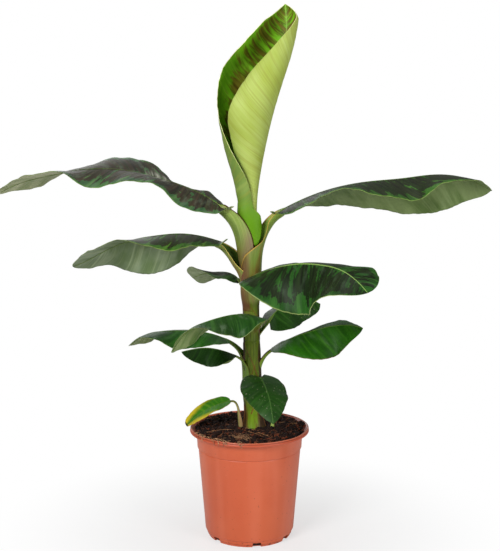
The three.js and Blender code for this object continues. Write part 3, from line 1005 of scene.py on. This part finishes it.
# %% A rod of many rings
def is_upright(edge):
    return abs(edge.verts[0].co.z - edge.verts[1].co.z) > 0.5


def rod(name, sides, rings):
    bm = bmesh.new()
    lift = Matrix.Translation((0, 0, 0.5))
    bmesh.ops.create_cone(bm, cap_ends=True, segments=sides, radius1=1, radius2=1, depth=1, matrix=lift)
    upright = [e for e in bm.edges if is_upright(e)]
    bmesh.ops.subdivide_edges(bm, edges=upright, cuts=rings - 1, use_grid_fill=True)
    return to_mesh(bm, name)


print("a rod has as many rings as its bends need")

# %% Stem shape
SUNK = 3  # how far the stem reaches below its measured foot
WAIST = 1.3  # how much slimmer the stem is between its foot and its crown
SHEATHS = (
    # height where the edge starts, angle there, climb to, angle there, step in mm; angle 0 is the front
    (178, -75, 330, 62, 1.0),
    (182, 80, 352, -68, 0.9),
    (300, -80, 350, 55, 0.8),
    (352, 85, 425, -60, 0.9),
)


def sheath_steps(angle, z):
    """How far the surface stands out at a place, and how many degrees off the closest edge is."""
    step = np.zeros_like(z)
    nearest = np.full_like(z, 99.0)
    for low, start, high, end, rise in SHEATHS:
        share = (z - low) / (high - low)
        edge = start + (end - start) * np.clip(share, 0, 1) ** 2.5
        off = (angle - edge) * np.sign(start)
        ends = np.clip(share / 0.1, 0, 1) * np.clip((1 - share) / 0.1, 0, 1)
        step += rise * np.clip(off / 5 + 0.5, 0, 1) * ends
        nearest = np.where((share > 0) & (share < 1), np.minimum(nearest, np.abs(off)), nearest)
    return step, nearest


stem_mesh = rod("stem", 96, 170)
x, y, z = corners(stem_mesh).T
height = STEM["foot"] - SUNK + z * (STEM["top"] - STEM["foot"] + SUNK)
middle, radius = stem_at(height)
angle = np.degrees(np.arctan2(x, -y))
step, nearest = sheath_steps(angle, height)
turn = np.radians(angle)
flutes = 0.2 * np.sin(turn * 7 + height / 60) + 0.15 * np.sin(turn * 12 - height / 90)
waist = WAIST * smooth(height, 230, 290) * (1 - smooth(height, 400, 450))
radius = radius - 1.4 - waist + np.minimum(step, 1.2) + flutes
bend(stem_mesh, np.stack([middle + x * radius, y * radius, height], 1))
keep(stem_mesh, "stem_edge", nearest, 0, 0)
print("stem from", STEM["foot"], "to", STEM["top"], "mm")

# %% [markdown]
# Old sheaths are olive and streaked, brown where they dry at the foot, and wine brown on the left below
# the crown. Their sides are darker with painted shade mixed into dark brown streaks. Stalks grow out of
# them, so their feet share this look.


# %% Stem finish
def old_sheath(f):
    """The colour of old sheaths and their fibres, shared by the stem and the feet of the stalks."""
    young, f.colour = f.colour, paint("#384706")
    x, y, z = f.split(f.place())
    fibres = f.noise((x * 420, y * 420, z * 12), 1, 3)
    cloud = f.noise((x * 30, y * 30, z * 9), 1, 4, 0.6)
    streaks = f.noise((x * 170, y * 170, z * 8), 1, 3)
    blush = f.noise((x * 70, y * 70, z * 16 + 4.0), 1, 3)
    off = x + z * 0.0185 - 0.0098
    ragged = (streaks - 0.5) * 0.02
    high = f.fade(z, 0.385, 0.425)
    f.coat("#576b0e", f.fade(cloud, 0.36, 0.62))
    f.coat("#7c8c24", f.fade(fibres, 0.42, 0.72) * 0.4)
    f.coat("#6f9010", f.fade(z, 0.26, 0.21) * 0.7)
    f.coat("#553218", f.fade(abs(off) + ragged, 0.0055, 0.0095) * f.fade(z, 0.25, 0.22) * 0.8)
    # Painted shade: towards its left and right sides the stem is darkened, mixed with its own dark brown
    # streaks.
    side_shade = f.fade(abs(off), 0.0095, 0.0135)
    streaks_and_side_shade = f.fade(cloud * 0.5 + streaks * 0.5 + side_shade * 0.17, 0.57, 0.67)
    f.coat("#321b10", streaks_and_side_shade * (0.88 - high * 0.45))
    f.coat("#58321f", f.fade(off + ragged, 0.004, -0.004) * high * 0.78)
    f.coat("#5e2f1c", f.fade(blush, 0.6, 0.68) * 0.6)
    old, f.colour = f.colour, young
    return old, fibres


def stem_finish():
    f = Finish("stem sheaths", "#384706", gloss=0.2)
    f.colour, fibres = old_sheath(f)
    nearest = f.attribute("stem_edge")[0]
    f.coat("#6b4320", f.fade(nearest, 4.5, 1.5) * 0.8)
    f.bump(fibres, 0.0006, 0.5)
    return f.done(0.42 + fibres * 0.15)


hand_over("stem_sheaths", stem_mesh, [stem_finish()], "stem", "stem")
print("stem faces:", len(stem_mesh.polygons))

# %% [markdown]
# ## Stalks and midribs
# A banana stalk is a channel: its foot is a sheath that hugs the stem, its sides close up towards the
# blade, and it runs on below the blade as the midrib. Both are one piece here, a rod of many rings
# that is bent along the stalk's curve and then along the rib, and squeezed into each section.


# %% The line of a stalk
def stalk_line(leaf, shares):
    """Points and directions of the stalk, at even shares of its length, and that length."""
    x, _ = stem_at(leaf["from"])
    start = np.array([*(leaf["root"] or (x, 0)), leaf["from"]], float)
    end = np.array(leaf["stalk"]["foot"], float)
    reach = np.linalg.norm(end - start)
    pulls = np.array([start, start + [0, 0, 0.55 * reach], end - 0.3 * reach * start_direction(leaf), end])
    k = np.linspace(0, 1, 401)[:, None]
    weights = (1 - k) ** 3, 3 * k * (1 - k) ** 2, 3 * k**2 * (1 - k), k**3
    curve = sum(weight * pull for weight, pull in zip(weights, pulls))
    slope = np.gradient(curve, axis=0)
    walked = np.concatenate([[0], np.cumsum(np.linalg.norm(np.diff(curve, axis=0), axis=1))])
    marks = shares * walked[-1]
    both = np.hstack([curve, slope]).T
    point, run = np.split(np.stack([np.interp(marks, walked, row) for row in both], -1), 2, axis=1)
    return point, run / np.linalg.norm(run, axis=1, keepdims=True), walked[-1]


def stalk_length(leaf):
    return stalk_line(leaf, np.zeros(2))[2]


print("length of the top left stalk:", round(stalk_length(LEAVES["top_left"])), "mm")

# %% [markdown]
# Every stalk closes round its channel in its own way, so that is written down leaf by leaf. Right and
# left are degrees from the outside of the stalk round to its edges, from its foot to the blade. Thick is
# how stout it is, and flat is how narrow. Clings is the stretch of it that comes away from the stem, and
# loose is how far it stands off. Forward is how far it is pushed to the front, over its neighbour.

# %% How the stalks wrap
SLENDER = dict(right=(150, 130, 112, 104, 100), thick=(1, 1, 0.9, 0.8, 0.75), clings=(0.3, 0.9))
WRAPS = {
    "top_left": dict(
        left=(178, 170, 150, 130, 128, 132, 130, 126, 116),
        right=(178, 170, 150, 128, 116, 112), flat=0.9, clings=(0.12, 0.62),
    ),
    "top_right": dict(
        left=(178, 170, 150, 128, 104, 92, 92, 96, 104),
        right=(178, 178, 177, 173, 150, 94, 46, 45, 80, 100),
        thick=(1, 1, 1, 1.1, 1.25, 1.3, 1.1), loose=2.2, forward=5.0, clings=(0.22, 0.6),
    ),
    "second_left": dict(
        left=(178, 178, 172, 120, 76, 52, 46, 56, 80), right=(178, 178, 168, 132, 104, 92, 90),
        thick=(1, 1, 1, 1.3, 1.7, 1.65, 1.3), loose=2.2, clings=(0.1, 0.5),
    ),
    "second_right": dict(
        left=(178, 160, 130, 110, 104, 100, 100),
        right=(150, 78, 50, 28, 14, 20, 34, 50, 66, 78, 86), loose=1.6,
    ),
    "third_left": dict(left=(170, 140, 108, 92, 88, 92), right=(170, 150, 128, 112, 106, 104)),
    "third_right": dict(
        left=(170, 150, 128, 112, 106, 104), right=(170, 130, 98, 84, 84, 92),
        thick=(1, 0.8, 0.6, 0.55, 0.55),
    ),
    "fifth_left": dict(SLENDER, left=(140, 100, 70, 64, 70, 80)),
    "sixth_left": dict(SLENDER, left=(130, 90, 66, 62, 70, 80)),
    "fourth_right": dict(
        left=(150, 120, 100, 90, 90), right=(120, 84, 70, 70, 74, 80),
        thick=(1, 1, 0.95, 0.9, 0.8), clings=(0.1, 0.6),
    ),
    "lowest_left": dict(
        left=(150, 110, 84, 74, 80), right=(150, 120, 100, 92, 90), thick=(1, 0.85, 0.75, 0.7),
    ),
    "other": dict(left=(170, 140, 108, 96, 92, 94), right=(170, 130, 98, 84, 86, 92)),
    "spear": dict(left=178, right=178, thick=0.72),
}
LAYERS = ["spear", "top_left", "top_right", "second_left", "second_right", "third_left", "fourth_left"]
LAYERS += ["third_right", "fifth_left", "sixth_left", "front", "fourth_right", "lowest_left"]
print("sheaths from the innermost outward:", len(LAYERS))


# %% Bend a rod into a stalk and its midrib
UNDER_SKIN = 2.2  # depth in the stem at which a sheath begins
LAYER = 0.08  # how much farther out each next sheath lies
RIB_END = 0.985  # share of the blade where the midrib ends


def stalk_section(name, walked):
    """Middle, right, up and radius of a stalk, how far its two sides wrap, and the share of its length."""
    leaf = LEAVES[name]
    stalk = leaf["stalk"]
    wrap = WRAPS.get(name, WRAPS["other"])
    share = np.clip(walked / stalk_length(leaf), 0, 1)
    point, run, _ = stalk_line(leaf, share)
    _, level, _ = directions(0, leaf["heading"])
    side = level - run * (run @ level)[:, None]
    side /= np.linalg.norm(side, axis=1, keepdims=True)
    size = (stalk["wide"] + share * (stalk["tip"] - stalk["wide"])) / 2
    size = size * (0.6 + 0.4 * np.minimum(1, 3 * share)) * along(wrap.get("thick", 1), share)
    if not leaf["root"]:
        start, end = wrap.get("clings", (0, 0.38))
        loose = LAYERS.index(name) * LAYER + wrap.get("loose", 0.3)
        around_stem = stem_at(point[:, 2])[1] - UNDER_SKIN + (UNDER_SKIN + loose) * smooth(share, 0, 0.3)
        size = around_stem + (size - around_stem) * smooth(share, start, end)
    forward = wrap.get("forward", 0) * np.sin(math.pi * np.clip(share / 0.8, 0, 1))
    point = point - np.outer(forward, [0, 1, 0])
    right, left = along(wrap["right"], share), along(wrap["left"], share)
    return point, side, np.cross(side, run), size, right, left, share


def lay_stalk(shape, name):
    x, y, z = shape.T
    leaf = LEAVES[name]
    blade, stalk = leaf["blade"], leaf["stalk"]
    length = stalk_length(leaf)
    walked = z * (length + blade["length"] * (0 if stalk["round"] else RIB_END))
    s = np.maximum(walked - length, 0)
    t = s / blade["length"]
    point, side, up, size, right, left, share = stalk_section(name, walked)
    around = np.arcsin(np.clip(-x, -1, 1)) / (math.pi / 2)
    lining = y > 1e-4
    wrap = np.radians(np.where(around > 0, right, left))
    flesh = np.minimum(0.34 * size, 1.3 + 3.4 * share) * (1 - 0.86 * np.abs(around) ** 3)
    radius = np.where(lining, size - flesh, size)
    flat = 1 - (1 - WRAPS.get(name, {}).get("flat", 1)) * smooth(share, 0.1, 0.4)
    width, height = radius * np.sin(wrap * around) * flat, -radius * np.cos(wrap * around)

    on_rib = walked > length
    rib_point, _, rib_side, rib_up = grow(np.array(leaf["foot"], float), leaf, t)
    pairs = (point, rib_point), (side, rib_side), (up, rib_up)
    point, side, up = (np.where(on_rib[:, None], on, before) for before, on in pairs)
    rib_width = rib_half_width(s, t, leaf)
    deep = np.minimum(0.5 + 0.36 * stalk["tip"] * (1 - t) ** 3, 3 * rib_width)
    arc = around * math.pi / 2
    settled = np.where(on_rib, smooth(s, 0, stalk["settle"] * stalk["tip"]), 0)
    width += (rib_width * np.sin(arc) - width) * settled
    height += (np.where(lining, 0.1, -deep * np.cos(arc)) - height) * settled
    places = point + side * width[:, None] + up * height[:, None]
    return places, (walked, around * wrap * size, lining, share, t, np.abs(around))


def make_stalk(name, finish):
    leaf = LEAVES[name]
    rings = int((stalk_length(leaf) + leaf["blade"]["length"]) / 2.6)
    mesh = rod("stalk_" + name, 72, rings)
    places, (walked, arc, lining, share, t, around) = lay_stalk(corners(mesh), name)
    bend(mesh, places)
    keep(mesh, "stalk_metres", walked * MM, arc * MM, lining)
    keep(mesh, "stalk_share", share, t, around)
    hand_over("petiole_" + name, mesh, [finish], "stalk_" + name, "stalk_" + name)


print("a stalk and its midrib are one rod")


# %% [markdown]
# A stalk is bright olive with long fibres and a flush of wine brown near its foot. The edges of the
# channel dry to a tan or wine-brown line, which is one of the first things to notice on a real plant.


# %% Stalk finish
STALK_LOOK = {
    "green": "#6d8a28",
    "dark": "#48601a",
    "pale": "#8fa544",
    "flush": "#4f2616",
    "flushed": 0.12,
    "old_to": 0.4,
    "wine": 0.0,
    "wine_to": 0.5,
    "tinted": 0.0,
    "inside": "#3f5f14",
    "edge": "#7a4a24",
    "edge_from": 0.955,
    "rib": "#6a8434",
}


def stalk_finish(name, seed, **changes):
    look = {**STALK_LOOK, **changes}
    f = Finish(name + " stalk", look["dark"], gloss=0.3)
    walked, arc, lining = f.attribute("stalk_metres")
    share, t, around = f.attribute("stalk_share")
    x, _, z = f.split(f.place())
    fibres = f.noise((walked * 12, arc * 700, lining * 3 + seed), 1, 3)
    cloud = f.noise((walked * 12, arc * 60, lining * 5 + seed), 1, 3)
    wander = f.noise((walked * 90, 0.0, seed), 1, 2)
    on_stalk = f.fade(t, 0.02, 0.0)
    f.coat(look["green"], f.fade(cloud, 0.3, 0.7))
    f.coat(look["pale"], f.fade(fibres, 0.42, 0.7) * 0.4)
    brown = f.fade(cloud + f.fade(share, 0.75, 0.15) * look["flushed"], 0.5, 0.74)
    f.coat(look["flush"], brown * 0.75)
    f.coat(old_sheath(f)[0], f.fade(share, look["old_to"], look["old_to"] * 0.45))
    left = f.fade(x + (cloud - 0.5) * 0.03 + (fibres - 0.5) * 0.01, 0.003, -0.008)
    low = f.fade(z, look["wine_to"], look["wine_to"] - 0.045)
    f.coat("#5c301b", left * low * look["wine"])
    tint = f.fade(around + (cloud - 0.5) * 0.6, 0.4, 0.85) * f.fade(share, 0.8, 0.5)
    f.coat("#7d5a50", tint * look["tinted"])
    f.coat(look["inside"], lining * 0.85 * on_stalk)
    rim = f.fade(around + wander * 0.03, look["edge_from"], look["edge_from"] + 0.025)
    f.coat(look["edge"], rim * on_stalk * f.fade(share, 0.04, 0.12) * 0.92)
    f.coat(look["rib"], f.fade(t, 0.0, 0.05))
    f.bump(fibres, 0.0005, 0.4)
    return f.done(0.42 + fibres * 0.12)


PLAIN_GREEN = dict(green="#5f7c1c", dark="#44601a", old_to=0.35, flushed=0.05)
STALKS = {
    "top_left": dict(green="#86a040", dark="#5c7030", pale="#a5b464", flush="#6b4a40", flushed=0.14,
                     old_to=0.2, wine=0.55, wine_to=0.545, tinted=0.6, edge="#5c261c"),
    "top_right": dict(green="#7d9a36", dark="#5f7428", flush="#74401f", flushed=0.2, old_to=0.2, wine=0.75,
                      wine_to=0.53, tinted=0.15, inside="#86a040", edge="#b08c3c", edge_from=0.92),
    "second_left": dict(green="#849a42", dark="#667536", flush="#7a5838", old_to=0.15, wine=0.75,
                        wine_to=0.47, inside="#36520e", edge="#d2b75c", edge_from=0.93),
    "second_right": dict(green="#7a9a34", dark="#4d6620", flush="#4a2218", flushed=0.2, old_to=0.02,
                         wine=0.8, wine_to=0.48, edge="#ab7f40", edge_from=0.88),
    "third_left": dict(wine=0.8, wine_to=0.465),
    "fourth_right": dict(green="#7a9a1c", dark="#5a7a12", flush="#6f7a1c", flushed=0.0, old_to=0.5,
                         edge="#7a3a1c", edge_from=0.93),
    "fifth_left": PLAIN_GREEN,
    "sixth_left": PLAIN_GREEN,
    "lowest_left": dict(green="#a89c5c", dark="#76823a", flush="#8f6a50", flushed=0.05, old_to=0.02,
                        inside="#5c6c24"),
    "front": dict(rib="#4a6a2c"),
    "spear": dict(green="#6f9a1c", dark="#558010", flush="#5f8a14", old_to=0.01, inside="#558010",
                  edge="#6f9a1c"),
}
for number, name in enumerate(LEAVES):
    make_stalk(name, stalk_finish(name, number * 2.9, **STALKS.get(name, {})))
print("stalks made:", len(LEAVES))

# %% [markdown]
# ## The side shoot
# A sucker is a small cone of tightly rolled sheaths that has just come through the compost.

# %% Side shoot
SHOOT = {"x": 40, "y": -8, "radius": 4, "height": 16, "buried": 4}
shoot_mesh = rod("sucker", 20, 24)
x, y, z = corners(shoot_mesh).T
taper = SHOOT["radius"] * (1 - 0.7 * z**1.5) * (1 + 0.08 * np.sin(9 * np.arctan2(y, x) + 6 * z))
height = STEM["foot"] - SHOOT["buried"] + z * (SHOOT["height"] + SHOOT["buried"])
places = [SHOOT["x"] + x * taper + 1.2 * z**2, SHOOT["y"] + y * taper, height]
bend(shoot_mesh, np.stack(places, 1))


def shoot_finish():
    f = Finish("side shoot", "#7f8434")
    x, y, z = f.split(f.place())
    fibres = f.noise((x * 600, y * 600, z * 30), 1, 2)
    f.coat("#84a83a", f.fade(z, 0.196, 0.202))
    f.coat("#c0c070", fibres * 0.6)
    f.bump(fibres, 0.0004, 0.4)
    return f.done(0.45 + fibres * 0.1)


hand_over("side_shoot", shoot_mesh, [shoot_finish()], "sucker", "sucker")
print("shoot height:", SHOOT["height"], "mm")

# %% [markdown]
# ## The compost
# Under the surface the compost only has to fill the pot, so one turned body does that. Its top is level
# and a little higher round the stem, lumpy farther out, and sinks towards the wall. What the eye reads
# as compost is loose: crumbs of all sizes, and fibres of coir that lie over them.

# %% Compost body
SOIL_EDGE = 192.5  # height of the turned top before it is made uneven
SINK = 2.5  # how much lower the compost lies at the wall
LEVEL_TO = 36  # distance from the stem to which the compost is level


def lump(x, y):
    return (np.sin(x * 0.11 + 1.3) * np.cos(y * 0.13 - 0.4) + np.sin(x * 0.31 - y * 0.23 + 2)) / 2


def ground(x, y):
    """Height of the compost at a place, in millimetres."""
    outward = np.clip((np.hypot(x - STEM["x"], y) - LEVEL_TO) / 40, 0, 1)
    slope = np.clip((np.hypot(x, y) - 80) / 18, 0, 1)
    return SOIL_TOP - SINK * slope + (2.4 * lump(x, y) * outward - 2 * outward) * (1 - slope)


def room(z):
    return inside(z) - GAP


soil_outline = [
    (0, POT["floor"] + GAP),
    (POT["foot"] - POT["wall"] - 1 - GAP, POT["floor"] + GAP),
    (room(POT["foot_height"]) - 1, POT["foot_height"] + 1),
    (room(POT["body_top_z"]), POT["body_top_z"]),
    (room(POT["height"] - 7.5), POT["height"] - 7.2),
    *[(r, SOIL_EDGE) for r in range(96, 0, -3)],
    (0, SOIL_EDGE),
]
soil_mesh = to_mesh(turned(soil_outline, 120), "soil")
spots = corners(soil_mesh) / MM
rng = chance(5)
rough_ground = 1.3 * ripple(spots[:, 0] + 0.4 * spots[:, 1], (7, 11, 17), rng)
rough_ground += 1.3 * ripple(spots[:, 1] - 0.3 * spots[:, 0], (6, 9, 19), rng)
surface = ground(spots[:, 0], spots[:, 1]) - 1.5 + rough_ground
spots[:, 2] = np.where(spots[:, 2] > SOIL_EDGE - 1, surface, spots[:, 2])
bend(soil_mesh, spots)
print("compost from", spots[:, 2].min().round(1), "to", spots[:, 2].max().round(1), "mm")


# %% Compost finish
def soil_finish(name, dark, brown, light):
    f = Finish(name, dark, 0.9, gloss=0.25)
    place = f.place()
    grit = f.noise(place, 700, 4, 0.7)
    f.coat(brown, f.fade(f.noise(place, 160, 3), 0.38, 0.58))
    f.coat(light, f.fade(grit, 0.55, 0.75) * 0.6)
    f.bump(grit, 0.0015, 0.8)
    return f.done()


dark_soil = soil_finish("compost", "#140a07", "#2a150e", "#52301f")
hand_over("compost_body", soil_mesh, [dark_soil], "soil", "soil")
print("compost body faces:", len(soil_mesh.polygons))

# %% [markdown]
# A crumb is a ball of only twenty faces, knocked out of round. There are over two thousand, in three
# meshes, so the choice of so plain a ball is what keeps the compost light to draw.


# %% Crumbs
def scatter(count, rng, reach=95):
    """Places on the compost, clear of the stem."""
    spots = []
    while len(spots) < count:
        x, y = rng.uniform(-reach, reach, 2)
        if math.hypot(x, y) < reach and math.hypot(x - STEM["x"], y) > STEM["flare_radius"] - 2:
            spots.append((x, y))
    return spots


def heap(x, y, spread_x, spread_y, count, rng):
    """Places heaped about one spot."""
    return [(x + rng.normal() * spread_x, y + rng.normal() * spread_y) for _ in range(count)]


def crumbs(name, where, small, large, seed, finish):
    rng = chance(seed)
    bm = bmesh.new()
    for x, y in scatter(where, rng) if isinstance(where, int) else where:
        size = small + (large - small) * rng.random() ** 2.5
        tilt = Matrix.Rotation(rng.uniform(0, math.tau), 4, Vector(rng.normal(size=3)).normalized())
        shape = Matrix.Diagonal((*(size * MM * rng.uniform(0.6, 1.3, 3)), 1))
        z = float(ground(x, y)) + rng.uniform(-0.5, 0.8)
        put = Matrix.Translation((x * MM, y * MM, z * MM))
        made = bmesh.ops.create_icosphere(bm, subdivisions=1, radius=0.5, matrix=put @ tilt @ shape)
        for vert in made["verts"]:
            vert.co += Vector(rng.normal(size=3)) * size * 0.06 * MM
    hand_over(name, to_mesh(bm, name), [finish], "soil")


crumbs("crumbs_dark", 1700, 2.0, 13, 11, soil_finish("dark crumbs", "#110806", "#27130c", "#4c2a1b"))
crumbs("crumbs_brown", 820, 1.6, 9, 12, soil_finish("brown crumbs", "#3a1a10", "#71371f", "#a4633f"))
near_left = [spot for spot in heap(-52, -66, 16, 9, 170, chance(17)) if math.hypot(*spot) < 95]
crumbs("crumbs_tan", near_left, 1.2, 5, 13, soil_finish("tan crumbs", "#6b3f26", "#96643f", "#bb9068"))
print("crumbs laid")

# %% [markdown]
# Coir fibres are thin rods, bent and strewn over the crumbs. A pale tangle of them lies in front of the
# stem, and a few hang over the lip of the pot.


# %% Fibres
def fibres(name, spots, length, thick, seed, finish, lift=1.5, curl=0.9):
    rng = chance(seed)
    bm = bmesh.new()
    for x, y in spots:
        span = length * rng.uniform(0.5, 1.4)
        heading, bow, curve = rng.uniform(0, math.tau), rng.uniform(0.5, 3), rng.normal() * curl
        before = len(bm.verts)
        made = bmesh.ops.create_cone(bm, cap_ends=True, segments=4, radius1=1, radius2=0.6, depth=1)
        upright = {e for v in made["verts"] for e in v.link_edges if is_upright(e)}
        bmesh.ops.subdivide_edges(bm, edges=list(upright), cuts=5, use_grid_fill=True)
        bm.verts.ensure_lookup_table()
        for vert in bm.verts[before:]:
            w = vert.co.z
            turn = heading + curve * w
            px, py = x + math.cos(turn) * span * w, y + math.sin(turn) * span * w
            pz = float(ground(x, y)) + lift + bow * (1 - 4 * w * w) + rng.normal() * 0.1
            beyond = max(0, math.hypot(px, py) - POT["lip"])
            hug = 1 - 0.85 * beyond / math.hypot(px, py)
            px, py, pz = px * hug, py * hug, pz - 1.5 * beyond
            px, py = px - math.sin(turn) * vert.co.x * thick, py + math.cos(turn) * vert.co.x * thick
            vert.co = Vector((px, py, pz + vert.co.y * thick)) * MM
    hand_over(name, to_mesh(bm, name), [finish], "soil")


def fibre_finish(name, dark, light):
    f = Finish(name, dark, 0.7)
    f.coat(light, f.fade(f.noise(f.place(), 300, 3), 0.35, 0.65))
    return f.done()


brown_coir = fibre_finish("brown coir", "#4a2416", "#8f5a3a")
fibres("coir_brown", scatter(260, chance(21), 86), 15, 0.28, 22, brown_coir)
LIP_REACH = 104  # how far out the fibres on the lip lie
rng = chance(23)
tangle = heap(-16, -68, 7, 6, 130, rng)
turns = np.radians(rng.uniform(205, 262, 22))
over_lip = [(LIP_REACH * math.cos(turn), LIP_REACH * math.sin(turn)) for turn in turns]
pale_coir = fibre_finish("pale coir", "#7c5236", "#bd9068")
fibres("coir_tangle", tangle, 12, 0.22, 24, pale_coir, 2.6, 1.8)
fibres("coir_on_lip", over_lip, 15, 0.6, 25, pale_coir, 4.6, 1.6)
root_finish = fibre_finish("roots", "#7a4a2c", "#b98a5c")
fibres("roots", scatter(9, chance(26), 84), 36, 0.4, 27, root_finish, 3.4, 2.2)
print("fibres laid")

# %% [markdown]
# ## Measure and finish
# The dressed plant should fill the same box as the measured one. Both boxes are written down.

# %% Sizes of both boxes
dressed_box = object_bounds()
for label, low_high in (("measured", measured_box), ("dressed", dressed_box)):
    print(label, [round((high - low) / MM) for low, high in zip(*low_high)], "mm")
